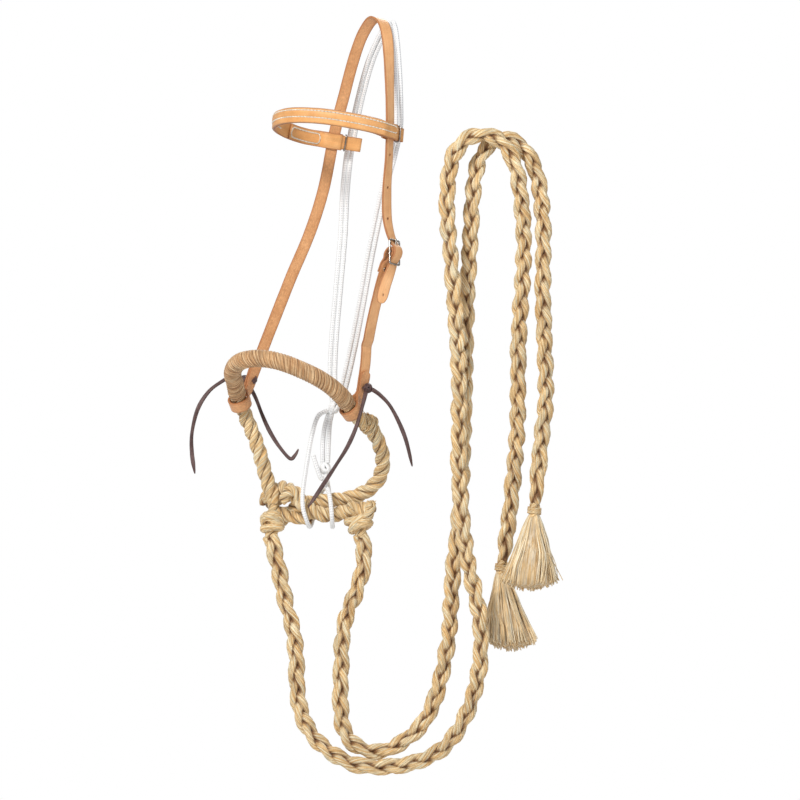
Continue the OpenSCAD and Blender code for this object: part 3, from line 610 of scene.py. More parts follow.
def tassel(name, pivot, foot, wide, deep, count, seed):
    """Loose fibres spread from the tie, in locks, over a soft core."""
    r = random.Random(seed)
    pile = Pile()
    down = foot - pivot
    locks = [r.uniform(0, TAU) for _ in range(26)]
    drift = [vec(r.gauss(0, 1), r.gauss(0, 0.7), 0) for _ in locks]
    for i in range(count):
        pick = i % len(locks)
        angle = locks[pick] + r.gauss(0, 0.11)
        reach = math.sqrt(r.random()) if i % 3 else r.uniform(0.86, 1.0)
        lock = 0.10 * math.sin(5 * angle + seed) + 0.05 * math.sin(11 * angle)
        flat = vec(math.cos(angle), math.sin(angle), 0)
        top = pivot + vec(0, 0, 9) + flat * (5.6 * reach) * vec(1, 1, 0)
        end = pivot + down * (1 - 0.13 * reach ** 2 - r.uniform(0, 0.07)) + flat * vec(wide, deep,
                0) * (reach * (1 + lock))
        wave = drift[pick] + vec(r.gauss(0, 0.3), r.gauss(0, 0.2), 0)
        points = []
        for t in (0, 0.08, 0.2, 0.38, 0.58, 0.78, 1.0):
            spread = t ** 0.86
            swing = 3.0 * math.sin(TAU * (1.2 * t + 0.16 * pick)) * t
            points.append(top * (1 - t) + end * t
                          + flat * vec(wide, deep, 0) * reach * (spread - t) + wave * swing)
        p = curve(points, 2)
        t = headings(p)
        n = carried(t)
        size = r.uniform(0.7, 1.45)
        taper = size * np.linspace(1.15, 0.75, len(p))
        # Fibres nearer the middle get more tint, as painted shade inside the tassel; a few others are darker
        # at random.
        pile.sweep(p, n, np.cross(t, n), circle(len(p), 5, taper), seed=r.uniform(0, 9),
                   tint=0.25 * (1 - reach) + 0.12 * r.random() ** 2, dome=1.2)
    ring = []
    for t, f in ((-0.07, 0.14), (0, 0.17), (0.08, 0.20), (0.2, 0.28), (0.45, 0.46), (0.75, 0.72),
                 (0.9, 0.80)):
        ring.append((pivot + down * t, max(6.5, f * wide), max(6.5, f * deep * 1.4)))
    p = np.array([q[0] for q in ring])
    a = np.linspace(0, TAU, 28, endpoint=False)[None, :]
    rough = 1 + 0.06 * np.cos(9 * a)
    rx, ry = np.array([[q[1]] for q in ring]), np.array([[q[2]] for q in ring])
    n = np.tile(vec(1, 0, 0), (len(p), 1))
    b = np.tile(vec(0, -1, 0), (len(p), 1))
    section = np.stack([rx * rough * np.cos(a), np.minimum(ry, deep * 0.8) * rough * np.sin(a)], axis=2)
    # The core's tint is painted shade inside the locks.
    pile.sweep(p, n, b, section, seed=2.2, tint=0.35, dome=0.2)
    return put(pile.build(name + "_mesh", [TASSEL]), name, "rope", name)


def reins():
    left_tie = rein_tie("left_rein_tie", LEFT_TIE, 8)
    right_tie = rein_tie("right_rein_tie", RIGHT_TIE, 4)
    left_pivot = LEFT_TIE + vec(-1.2, 0, -TIE_H / 2 - 9.9)
    right_pivot = RIGHT_TIE + vec(-0.6, 0, -TIE_H / 2 - 9.2)
    tassel("left_tassel", left_pivot, left_pivot + vec(16, 2, -102), 34, 17, 420, 3)
    tassel("right_tassel", right_pivot, right_pivot + vec(-8, 0, -98), 38, 18, 460, 7)
    for name, route, tie, seed, start, end in (
            ("left_rein", LEFT_REIN, left_tie, 1.0, (-0.125, 0, -0.85), (0.02, 0, -0.85)),
            ("right_rein", RIGHT_REIN, right_tie, 2.0, (-0.015, 0, -0.711), (0.040, 0, -0.7165))):
        pile = Pile()
        p = plait(pile, route, 6.3, 4.1, 98.0, 6.0, 4.7, seed=seed)
        obj = pile.build(name + "_mesh", [ROPE])
        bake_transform(obj)
        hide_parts(name)


THROAT = [[-57, 42, -527], [-60, 50, -492], [-58, 62, -440], [-52, 74, -370], [-46, 85, -300],
          [-43, 92, -240],
          [-38, 95, -190], [-30, 90, -145], [-20, 76, -100], [-8, 54, -58], [6, 30, -25], [17, 9, -5.5],
          [22, -6, -6], [26, -19, -26], [29, -30, -62], [31, -36, -104], [31, -38, -148], [24, -40, -184],
          [14, -42, -221], [5, -41, -262], [-8, -31, -325], [-19, -17, -386], [-31, 2, -448],
          [-42, 19, -497],
          [-50, 30, -525]]
UPPER_KNOT = vec(-58, 36, -535)
LOWER_KNOT = vec(-70, 33, -619)
DROPS = [[[-61, 33, -543.5], [-64, 30, -560], [-65.5, 29, -585], [-66.5, 30, -611]],
         [[-65, 39, -542.5], [-70.5, 36, -560], [-73.5, 34, -585], [-73.5, 35, -611]]]
HEEL = [[-66.5, 36, -539], [-80, 32, -547], [-89, 28, -575], [-96, 24, -615], [-101, 18, -650],
        [-101, 14, -672], [-96, 18, -690], [-92, 34, -699], [-89, 54, -695], [-85, 67, -680],
        [-80, 68, -662],
        [-73, 57, -648], [-67, 38, -647], [-63, 21, -664], [-61, 16, -684], [-60, 26, -697], [-60, 46, -699],
        [-61, 62, -692], [-63, 69, -672], [-65, 62, -650], [-68, 48, -632], [-69, 40, -625.5]]
TIE = [[-86.6, 25.4, -601], [-84, 24.5, -610], [-80, 24.5, -622], [-76, 26, -632], [-71, 30, -633],
       [-69, 32, -627.5]]
CORD_R = 3.2


def white_cords():
    for side, name in ((-1, "throat_cord_a"), (1, "throat_cord_b")):
        pile = Pile()
        route = np.array(THROAT, float) + vec(side * (CORD_R + 0.2), 0, 0)
        p = braided(pile, route, CORD_R, step=1.0, seed=2.0 + side)
        obj = pile.build(name + "_mesh", [BRAID])
        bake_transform(obj)
        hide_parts("throat_cord")
    for name, route, node, seed in (("drop_cord_a", DROPS[0], "drop_cords", 4.0),
                                    ("drop_cord_b", DROPS[1], "drop_cords", 5.0),
                                    ("heel_cord", HEEL, "heel_cord", 6.0),
                                    ("tie_cord", TIE, "tie_cord", 7.0)):
        pile = Pile()
        p = braided(pile, route, CORD_R, seed=seed)
        obj = put(pile.build(name + "_mesh", [BRAID]), "noseband", "cord", node)


def ball_knot(name, centre, size, turns, seed, radius=2.7):
    """Turns of the cord drawn tight round each other."""
    r = random.Random(seed)
    pile = Pile()
    for i in range(turns):
        axis = unit(vec(r.uniform(-1, 1), r.uniform(-1, 1), r.uniform(-0.6, 0.6)))
        side = across(vec(0.3, 0.2, 1), axis)
        up = np.cross(axis, side)
        a = np.linspace(0, TAU, 60, endpoint=False)[:, None]
        out = np.cos(a) * side + np.sin(a) * up
        p = centre + (size - radius) * out + (i - turns / 2 + 0.5) * 1.2 * axis * np.cos(a)
        t = rows_unit(np.roll(p, -1, axis=0) - np.roll(p, 1, axis=0))
        n = rows_across(out, t)
        ang = np.linspace(0, TAU, 14, endpoint=False)[None, :]
        weave = np.cos(3 * ang + 12 * a) * np.cos(3 * ang - 12 * a)
        rr = radius * (0.95 + 0.07 * weave)
        section = np.stack([rr * np.cos(ang), rr * np.sin(ang)], axis=2)
        # The tint greys the hollows of the weave as painted shade.
        pile.sweep(p, n, np.cross(t, n), section, seed=seed + i, tint=0.5 * np.clip(-0.2 - weave, 0, 1),
                   closed=True)
    return put(pile.build(name + "_mesh", [BRAID]), "noseband", "cord", name)


# ---------------------------------------------------------------- noseband
FAR_C = vec(-188, 40, -527)
FAR_A = unit(vec(0.30, 0.55, -0.78))
FAR_UP = across(vec(0, 0, 1), FAR_A)
FAR_OUT = np.cross(FAR_UP, FAR_A)
NEAR_C = vec(-34, -24, -538)
NEAR_A = unit(vec(0.52, 0.55, -0.655))
NEAR_UP = across(vec(0, 0, 1), NEAR_A)
NEAR_OUT = np.cross(NEAR_A, NEAR_UP)
WRAP_GAP = 11.5
NOSE = [[-195, 14, -500], [-198, -6, -488], [-194, -28, -477], [-184, -48, -470], [-168, -64, -467],
        [-149, -74, -468], [-128, -80, -473], [-105, -80, -482], [-82, -74, -493], [-62, -60, -506],
        [-46, -41, -521]]
FAR_LEG = [[-138, 62, -668], [-146, 66, -648], [-153, 66, -625], [-160, 64, -600], [-168, 60, -575],
           [-178, 54, -552]]
NEAR_LEG = [[-20, -9, -553], [-9, 2, -561], [0, 12, -576], [7, 22, -594], [9, 32, -613], [4, 41, -632],
            [-9, 48, -647], [-28, 52, -657], [-50, 52, -662], [-74, 52, -664], [-98, 57, -668],
            [-118, 66, -678], [-132, 72, -690]]
CHIN = [[-152, 80, -668], [-146, 86, -654], [-132, 80, -646], [-118, 62, -650], [-106, 46, -662],
        [-96, 34, -672], [-80, 30, -681], [-60, 33, -683], [-42, 35, -679], [-26, 28, -674], [-6, 18, -680]]
ROPE_R = 9.5
LAID_R = 10.6
WRAP_R = 12.0
NEAR_START = [list(NEAR_C - WRAP_GAP * NEAR_A), list(NEAR_C), list(NEAR_C + WRAP_GAP * NEAR_A)]
FAR_END = [list(FAR_C + WRAP_GAP * FAR_A), list(FAR_C), list(FAR_C - WRAP_GAP * FAR_A)]


def fibre_wrap():
    """Fibre wound tightly round the nose, one turn lapping the last."""
    route = [list(FAR_C - WRAP_GAP * FAR_A)] + NOSE + [list(NEAR_C - WRAP_GAP * NEAR_A)]
    p, s, n, b = cord_frames(route, 0.55)
    sides = 64
    a = np.linspace(0, TAU, sides, endpoint=False)[None, :]
    wander = 0.10 * ripple(s, 21, 47.0)[:, None]
    turn = s[:, None] / 4.6 - 6 * a / TAU + wander + 0.05 * np.sin(2 * a + s[:, None] / 31)
    saw = turn - np.floor(turn)
    lap = np.sin(np.pi * np.clip(saw, 0, 1)) ** 0.55
    strands = np.cos(TAU * 4 * turn)
    swell = 1 + 0.012 * ripple(s, 8, 70.0)[:, None]
    r = (WRAP_R - 1.1) * swell + 1.2 * lap + 0.14 * strands
    pinch = np.clip(np.minimum(s, s[-1] - s) / 5.0, 0, 1)[:, None] ** 0.5
    r = 10.2 + (r - 10.2) * pinch
    section = np.stack([r * np.cos(a), r * np.sin(a)], axis=2)
    pile = Pile()
    # The tint darkens the step where each turn laps the last and the grooves between its strands: painted
    # shade.
    pile.sweep(p, n, b, section, s=s, seed=4.0, tint=np.clip(1.1 * (0.62 - lap), 0,
            0.8) + 0.12 * (strands < -0.4),
               dome=0.0)
    # The wound fibres run round the rope, so their long way is the angle
    run = pile.run[-1]
    m, k = section.shape[:2]
    run[:m * k, 0] = (WRAP_R * a * np.ones((m, 1)) + 7 * np.floor(turn)).ravel()
    run[:m * k, 1] = (4.6 * turn).ravel()
    run[:m * k, 2] = 0.0
    put(pile.build("noseband_wrap_mesh", [WRAP]), "noseband", "wrap", "noseband_wrap")


def noseband_ropes():
    pile = Pile()
    laid_rope(pile, FAR_LEG + FAR_END, LAID_R + 0.4, 58, seed=1.0, start=0.1)
    laid_rope(pile, [FAR_END[1], FAR_END[2]] + NOSE + NEAR_START[:2], 8.6, 60, step=4.0, seed=5.0)
    laid_rope(pile, NEAR_START + NEAR_LEG, LAID_R + 0.4, 58, seed=2.0, start=0.4)
    put(pile.build("noseband_rope_mesh", [ROPE]), "noseband", "rope", "noseband_rope")
    pile = Pile()
    laid_rope(pile, CHIN, LAID_R + 0.6, 50, seed=3.0, start=0.2)
    # Where the second rope crosses itself it shows as a lifted bight over the bridge
    laid_rope(pile, [[-127, 50, -664], [-122, 42, -652], [-112, 38, -650], [-103, 36, -660],
                     [-98, 34, -672]],
              8.4, 46, seed=3.7, start=0.3)
    laid_rope(pile, [[-136, 66, -677], [-122, 58, -684], [-106, 50, -688], [-90, 44, -689]],
              8.8, 50, seed=4.4, start=0.9)
    put(pile.build("chin_rope_mesh", [ROPE]), "noseband", "rope", "chin_rope")


def leg_collar():
    """Two turns of rope yarn seize the leg, with loose ends of fibre above them."""
    centre = vec(-10, 1, -558)
    axis = unit(vec(0.62, 0.62, -0.48))
    side = across(vec(0, 0, 1), axis)
    pile = Pile()
    for shift, r, seed in ((-3.0, 11.4, 1.0), (3.0, 11.8, 2.0)):
        a = np.linspace(0.2, TAU + 0.35, 110)
        out = np.cos(a)[:, None] * side + np.sin(a)[:, None] * np.cross(axis, side)
        p = centre + r * out + (shift + 1.2 * (a / TAU - 0.5))[:, None] * axis
        strand(pile, p, lengths(p), out, 3.0, 2.6, seed, sides=16, lobes=4, twist=0.7, relief=0.08)
    r = random.Random(5)
    for i in range(70):
        a = r.uniform(0, TAU)
        out = math.cos(a) * side + math.sin(a) * np.cross(axis, side)
        start = centre + 9.3 * out - 3 * axis
        reach = r.uniform(5, 13)
        route = [start, start - 0.5 * reach * axis + r.uniform(0.5, 1.6) * out,
                 start - reach * axis + r.uniform(1.0, 3.2) * out + vec(r.gauss(0, 1), r.gauss(0, 1),
                         r.gauss(0, 1))]
        q = curve(route, 3)
        t = headings(q)
        n = carried(t)
        pile.sweep(q, n, np.cross(t, n), circle(len(q), 5, np.linspace(0.75, 0.35, len(q))),
                   seed=i * 0.3, tint=0.1, dome=1.0)
    put(pile.build("leg_collar_mesh", [ROPE]), "noseband", "rope", "leg_collar")


def wound_knot(centre, r, h, seed, lean, loops):
    """A rope knot: thick strands wound round a barrel, lapping over and under each other."""
    pile = Pile()
    axis = unit(vec(lean[0], lean[1], 1))
    side = across(vec(1, 0, 0), axis)
    up = np.cross(axis, side)
    thick = 5.4
    for i, (tilt, swing, level, reach) in enumerate(loops):
        a = np.linspace(0, TAU, 120, endpoint=False)
        out = np.cos(a)[:, None] * side + np.sin(a)[:, None] * up
        lift = level + tilt * np.cos(a + swing)
        radial = (r - thick) * reach * np.sqrt(np.clip(1 - (lift / (h * 0.62)) ** 2, 0.15, 1))
        radial = radial + 1.6 * np.cos(2 * (a + swing) + i)
        p = centre + radial[:, None] * out + lift[:, None] * axis
        s = np.linspace(0, TAU * r, len(a))
        t = rows_unit(np.roll(p, -1, axis=0) - np.roll(p, 1, axis=0))
        n = rows_across(out, t)
        ang = np.linspace(0, TAU, 24, endpoint=False)[None, :]
        ridge = np.cos(6 * ang + 9 * a[:, None] + i)
        fine = np.cos(13 * ang - 4 * a[:, None])
        rr = thick * (1 + 0.06 * (ridge - 1) + 0.02 * fine)
        section = np.stack([rr * np.cos(ang), rr * np.sin(ang)], axis=2)
        # The tint darkens the grooves between the ridges as painted shade.
        pile.sweep(p, n, np.cross(t, n), section, s=s, seed=seed + i,
                   tint=0.32 * np.clip(0.3 - 0.7 * ridge, 0, 1),
                   closed=True)
    return pile


def rein_knots():
    left = wound_knot(vec(-143, 60, -693), 17, 32, 1.0, (0.15, 0.1),
                      ((2.5, 0.4, -8.5, 0.98), (5.0, 2.6, -0.5, 1.0), (3.5, 4.4, 7.5, 0.95),
                       (9.5, 1.4, 1.0, 0.90)))
    laid_rope(left, [[-141, 63, -661], [-141, 62, -676], [-142, 61, -690], [-144, 60, -708],
                     [-144.5, 60, -714]], 9.2, 44, seed=6.0)
    put(left.build("left_rein_knot_mesh", [ROPE]), "noseband", "rope", "left_rein_knot")
    right = wound_knot(vec(-24, 30, -693), 20, 28, 2.0, (-0.2, 0.1),
                       ((2.0, 0.9, -7.5, 0.95), (4.0, 3.2, -0.5, 1.0), (3.0, 5.2, 6.0, 0.92),
                        (9.0, 0.2, 0.5, 0.88)))
    laid_rope(right, [[-31, 30, -672], [-26, 29, -690], [-21, 28, -706], [-20, 28, -713]], 9.4, 44, seed=7.0)
    # The cut end of the rope stands out above the knot, frayed
    stub = [[-14, 20, -690], [-10, 15, -682], [-8, 13, -673], [-7, 12, -667]]
    laid_rope(right, stub, 7.6, 36, seed=8.0)
    r = random.Random(9)
    for i in range(60):
        a, d = r.uniform(0, TAU), 6.4 * math.sqrt(r.random())
        start = vec(-8 + d * math.cos(a), 13 + d * math.sin(a), -671)
        route = [start, start + vec(0.3, -0.2, 4), start + vec(r.gauss(0.5, 1), r.gauss(-0.2, 1),
                r.uniform(4.5, 8.5))]
        q = curve(route, 3)
        t = headings(q)
        n = carried(t)
        right.sweep(q, n, np.cross(t, n), circle(len(q), 5, np.linspace(0.8, 0.4, len(q))), seed=i * 0.7,
                    tint=0.05,
                    dome=1.0)
    put(right.build("right_rein_knot_mesh", [ROPE]), "noseband", "rope", "right_rein_knot")


# ---------------------------------------------------------------- leather straps
STRAP_W, STRAP_T = 16.0, 3.2
LAYER_GAP = 0.6
FOLD_N = (STRAP_T + LAYER_GAP) / 2
LOOP_R = ROPE_R + 2.6 + STRAP_T / 2


def station(p, w, scale=1.0):
    return np.r_[np.asarray(p, float), np.asarray(w, float), scale]


def strap_frames(s):
    t = np.zeros((len(s), 3))
    for i in range(len(s)):
        t[i] = unit(s[min(i + 1, len(s) - 1), :3] - s[max(i - 1, 0), :3])
    side = rows_across(s[:, 3:6], t)
    return t, side, np.cross(t, side)


def shifted(s, n, m=0.0):
    s = np.array(s, float)
    _, side, up = strap_frames(s)
    out = s.copy()
    out[:, :3] += n * up + m * side
    return out


def loop_at(c, up, out, a, u, n):
    return station(c + u * up + n * out, a)


def loop(c, up, out, a):
    rows = [loop_at(c, up, out, a, 16.5, -3.1 * FOLD_N)]
    for d in range(42, 323, 28):
        x = math.radians(d)
        rows.append(loop_at(c, up, out, a, LOOP_R * math.cos(x), -LOOP_R * math.sin(x)))
    rows.append(loop_at(c, up, out, a, 16.5, 3.1 * FOLD_N))
    return np.array(rows)


FAR_MID = curve([loop_at(FAR_C, FAR_UP, FAR_OUT, FAR_A, 22, 0),
                 loop_at(FAR_C, FAR_UP, FAR_OUT, FAR_A, 31, 0),
                 station([-171, 63, -492], [0.45, 0.52, -0.72]),
                 station([-166, 62.5, -478], [0.65, 0.45, -0.60]),
                 station([-161, 61.5, -465], [0.78, 0.35, -0.50]),
                 station([-152, 60.5, -442], [0.86, 0.27, -0.38])], 2)
NEAR_MID = curve([loop_at(NEAR_C, NEAR_UP, NEAR_OUT, NEAR_A, 22, 0),
                  loop_at(NEAR_C, NEAR_UP, NEAR_OUT, NEAR_A, 31, 0),
                  station([-17.5, -7.5, -499], [0.66, 0.59, -0.44]),
                  station([-15, -9, -485], [0.74, 0.59, -0.30]),
                  station([-13.5, -12, -473], [0.78, 0.59, -0.20]),
                  station([-12, -19, -450], [0.80, 0.58, -0.15])], 2)
TAIL_END = 8
NEAR_TAIL_END = 5


def tail(s):
    """A layer with a rounded end."""
    a, b = s[-2], s[-1]
    d = unit(b[:3] - a[:3])
    return np.vstack([s, station(b[:3] + 4 * d, b[3:6], 0.9), station(b[:3] + 6.5 * d, b[3:6], 0.55),
                      station(b[:3] + 7.4 * d, b[3:6], 0.25)])


BUCKLE_C = vec(25.5, -76, -320.5)
BUCKLE_DOWN = unit(vec(0, -0.24, -0.97))
BUCKLE_W = across(vec(0.66, 0.73, -0.18), BUCKLE_DOWN)
BUCKLE_OUT = np.cross(BUCKLE_DOWN, BUCKLE_W)
BAR_U = 17.0
WIRE_R = 1.3
RAIL_W = STRAP_W / 2 + 0.7 + WIRE_R
BAR_FOLD_R = WIRE_R + 0.5 + STRAP_T / 2
PITCH = STRAP_T + LAYER_GAP
OVER_N = BAR_FOLD_R + PITCH
UNDER_N = -(WIRE_R + 0.7 + STRAP_T / 2)


def in_buckle(u, n, scale=1.0):
    return station(BUCKLE_C + u * BUCKLE_DOWN + n * BUCKLE_OUT, BUCKLE_W, scale)


def at_buckle(x, u, n):
    return BUCKLE_C + x * BUCKLE_W + u * BUCKLE_DOWN + n * BUCKLE_OUT


HUMP = curve([in_buckle(0, OVER_N), in_buckle(6, OVER_N - 2), in_buckle(11.5, -0.4),
              in_buckle(BAR_U + 1, UNDER_N)], 2)
CROWN_FREE = [([-137, 61.5, -405], [0.93, 0.15, -0.30]), ([-116, 64, -352], [0.95, 0.10, -0.30]),
              ([-97, 67, -308], [0.95, 0.10, -0.30]), ([-83, 70, -270], [0.96, 0.10, -0.25]),
              ([-72, 72, -232], [0.97, 0.10, -0.20]), ([-65, 73, -198], [0.98, 0.10, -0.17]),
              ([-59, 72, -165], [0.98, 0.10, -0.15]), ([-52, 68, -134], [0.98, 0.08, -0.18]),
              ([-44, 60, -104], [0.97, 0.05, -0.20]), ([-33, 46, -62], [0.95, 0, -0.20]),
              ([-21, 29, -26], [0.93, 0, -0.25]), ([-8, 11, -3], [0.93, 0.05, -0.25]),
              ([2, -2, 1.6], [0.94, 0.10, -0.25]), ([11, -15, -6], [0.95, 0.18, -0.20]),
              ([16, -30, -28], [0.94, 0.28, -0.10]), ([18, -46, -62], [0.80, 0.58, -0.05]),
              ([19, -60, -104], [0.66, 0.75, 0]), ([19.3, -69, -150], [0.62, 0.78, 0]),
              ([17.8, -70, -190], [0.60, 0.80, 0]), ([15.2, -67, -230], [0.70, 0.71, -0.02]),
              ([14.8, -63.5, -262], [0.76, 0.64, -0.04]), ([16.2, -63, -279], [0.73, 0.68, -0.08]),
              ([19.2, -65.5, -293], [0.69, 0.71, -0.13])]
CROWN_TIP = [([18.6, -81, -350], [0.82, 0.55, -0.18], 1), ([14, -83, -362], [0.94, 0.28, -0.20], 1),
             ([10.5, -84, -374], [0.96, 0.20, -0.22], 1), ([8.6, -84.5, -381], [0.96, 0.20, -0.24], 0.97),
             ([7.5, -84.8, -386], [0.96, 0.20, -0.24], 0.82),
             ([6.7, -85, -389.6], [0.96, 0.20, -0.24], 0.55),
             ([6.5, -85.05, -390.8], [0.96, 0.20, -0.24], 0.28)]


def crown_line():
    hump_top = [in_buckle(-BAR_U - 1, UNDER_N), in_buckle(-11.5, -0.4), in_buckle(-6, OVER_N - 2)]
    free = [station(*q) for q in CROWN_FREE]
    middle = curve([FAR_MID[-1]] + free + hump_top + [HUMP[0]], 2)[2:2 * (len(free) + len(hump_top) + 1)]
    tip = curve([HUMP[-1]] + [station(*q) for q in CROWN_TIP], 2)[1:]
    return np.vstack([tail(shifted(FAR_MID[:TAIL_END + 1], FOLD_N))[::-1],
                      loop(FAR_C, FAR_UP, FAR_OUT, FAR_A)[::-1], shifted(FAR_MID, -FOLD_N), middle, HUMP,
                      tip])


def near_cheek_line():
    double = np.array([station([14.2, -73.4, -338.5], [0.78, 0.60, -0.18]),
                       station([12.4, -73, -344], [0.80, 0.58, -0.18]),
                       station([10.6, -72.2, -349.5], [0.81, 0.56, -0.17])])
    free = [station([6.6, -69, -364], [0.83, 0.54, -0.16]), station([2.2, -62, -382], [0.84, 0.52, -0.15]),
            station([-2.6, -52, -402], [0.84, 0.52, -0.15]), station([-8, -37, -428], [0.83, 0.54, -0.15])]
    front = curve([in_buckle(0, BAR_FOLD_R), in_buckle(4.6, 1.3), in_buckle(9, -4), in_buckle(13, -8.8)]
                  + list(double) + free + [NEAR_MID[-1]], 2)
    back = list(shifted(double, -PITCH - 0.3)[::-1]) + [in_buckle(8, -13.5), in_buckle(1.5, -12),
                                                        in_buckle(-3.6, -8.5),
                                                        in_buckle(-6, -3.6), in_buckle(-5.2, 0.6),
                                                        in_buckle(-3, 2.9)]
    turned = curve(back[2:], 2)[:2 * (len(back) - 3) + 1]
    return np.vstack([back[0], back[1], turned, front[:-1], shifted(NEAR_MID[::-1], -FOLD_N),
                      loop(NEAR_C, NEAR_UP, NEAR_OUT, NEAR_A),
                      tail(shifted(NEAR_MID[:NEAR_TAIL_END + 1], -FOLD_N))])


def strap_section(w, t, crown=0.25, sides=11):
    """The outline of a strap's cut: crowned grain side, rounded edges, flat flesh side. Says where each
    stretch belongs: 0 grain, 1 edge, 2 flesh."""
    h, r = w / 2, min(0.9, t * 0.36)
    x = np.linspace(-h + r, h - r, sides)
    top = [(v, t / 2 - crown * (abs(v) / h) ** 4, abs(v) / h) for v in x]
    right = [(h - r * (1 - math.cos(a)), t / 2 - crown - r * (1 - math.sin(a)), 1) for a in (0.9, 0.35)]
    low = [(h - r * (1 - math.cos(a)), -t / 2 + r * (1 - math.sin(a)), 1) for a in (0.35, 0.9)]
    bottom = [(v, -t / 2, abs(v) / h) for v in x[::-2]]
    ring = top + right + low + bottom
    ring += [(-a, b, c) for a, b, c in low[::-1]] + [(-a, b, c) for a, b, c in right[::-1]]
    mats = ([0] * len(top) + [1] * (len(right) + len(low)) + [2] * (len(bottom) - 1)
            + [1] * (len(low) + len(right) + 1))
    return np.array(ring), mats[:len(ring)]


def strap(pile, stations, w, t, step=1.5, edge=0.85, seed=1.0, crown=0.25, wave=0.12):
    p7, s = dense(stations, step)
    _, side, up = strap_frames(p7)
    ring, mats = strap_section(w, t, crown)
    width = p7[:, 6][:, None] * (1 + 0.008 * ripple(s, int(seed * 17), 60.0)[:, None])
    x = ring[None, :, 0] * width
    y = ring[None, :, 1] + wave * ripple(s, int(seed * 5), 75.0)[:, None] * (ring[None, :, 2] ** 2)
    section = np.stack([x, np.broadcast_to(y, x.shape)], axis=2)
    tint = np.clip((ring[:, 2] - 0.72) / 0.28, 0, 1) ** 1.5 * edge
    pile.sweep(p7[:, :3], side, up, section, s=s, seed=seed, tint=np.broadcast_to(tint, x.shape),
               mat=np.array(mats),
               dome=0.02)
    return p7, s, side, up


def punch(obj, places, radius, long=1.0):
    """Punched holes and slits, cut through with a drill solid."""
    cutters = Pile()
    for p, axis, side in places:
        axis = unit(axis)
        q = np.array([p - 7 * axis, p, p + 7 * axis], float)
        n = np.tile(across(side, axis), (3, 1))
        b = np.cross(np.tile(axis, (3, 1)), n)
        section = circle(3, 16, radius) * np.array([1.0, long])
        cutters.sweep(q, n, b, section, dome=0.0)
    tool = cutters.build("drill", [EDGE])
    mod = obj.modifiers.new("holes", "BOOLEAN")
    mod.operation = "DIFFERENCE"
    mod.solver = "EXACT"
    mod.object = tool
    bpy.context.view_layer.objects.active = obj
    with bpy.context.temp_override(object=obj, active_object=obj):
        bpy.ops.object.modifier_apply(modifier=mod.name)
    bpy.data.objects.remove(tool)


HOLE_OUT = vec(0.76, -0.65, 0)
SPARE_HOLES = [[15.8, -63.4, -274], [15.3, -67, -231], [18, -70, -186]]
FAR_SLOT = vec(-172.5, 62.8, -497)
NEAR_SLOT = vec(-18.6, -8.2, -508)
SCREW_AT = vec(11.4, -71.5, -343.6)
SCREW_OUT = vec(0.56, -0.80, -0.23)


def leather_straps():
    pile = Pile()
    strap(pile, crown_line(), STRAP_W, STRAP_T, seed=1.0)
    crown = pile.build("crown_strap_mesh", [GRAIN, EDGE, FLESH])
    tip_out = np.cross(unit(vec(-2, -0.6, -10)), vec(0.96, 0.20, -0.24))
    holes = [(vec(*q), HOLE_OUT, BUCKLE_W) for q in SPARE_HOLES]
    holes += [(vec(9.2, -84.3, -379.5), tip_out, vec(1, 0, 0)),
              (at_buckle(0, -13, 0.5), BUCKLE_OUT + 0.6 * BUCKLE_DOWN, BUCKLE_W)]
    punch(crown, holes, 1.5, 1.35)
    put(crown, "headstall", "leather", "crown_strap")
    pile = Pile()
    strap(pile, near_cheek_line(), STRAP_W, STRAP_T, seed=2.0)
    cheek = pile.build("near_cheek_strap_mesh", [GRAIN, EDGE, FLESH])
    punch(cheek, [(NEAR_SLOT, NEAR_OUT, vec(0, 0, 1))], 2.9)
    punch(cheek, [(BUCKLE_C + 3.5 * BUCKLE_OUT - 0.5 * BUCKLE_DOWN, BUCKLE_OUT, BUCKLE_W)], 1.9, 3.4)
    put(cheek, "headstall", "leather", "near_cheek_strap")


# ---------------------------------------------------------------- buckle, rings and screw
def wire_ring(pile, corners, radius, bend, sides=16, flat=1.0):
    """Wire bent round the corners of a closed outline."""
    corners = np.array(corners, float)
    count = len(corners)
    p = []
    for i in range(count):
        a, c, b = corners[i - 1], corners[i], corners[(i + 1) % count]
        u, v = unit(a - c), unit(b - c)
        for t in np.linspace(0, 1, 9):
            p.append((1 - t) ** 2 * (c + bend * u) + 2 * t * (1 - t) * c + t * t * (c + bend * v))
        for t in (0.25, 0.5, 0.75):
            p.append((c + bend * v) * (1 - t) + (b - bend * v) * t)
    p = np.array(p)
    t = rows_unit(np.roll(p, -1, axis=0) - np.roll(p, 1, axis=0))
    plane = unit(np.cross(corners[1] - corners[0], corners[2] - corners[1]))
    b = np.tile(plane, (len(p), 1))
    n = np.cross(b, t)
    pile.sweep(p, n, b, circle(len(p), sides, radius) * np.array([1.0, flat]), closed=True)


def rod(pile, a, b, radius, sides=16, seed=0.0):
    p = np.linspace(a, b, 9)
    t = headings(p)
    n = carried(t)
    pile.sweep(p, n, np.cross(t, n), circle(len(p), sides, radius), seed=seed, dome=0.3)


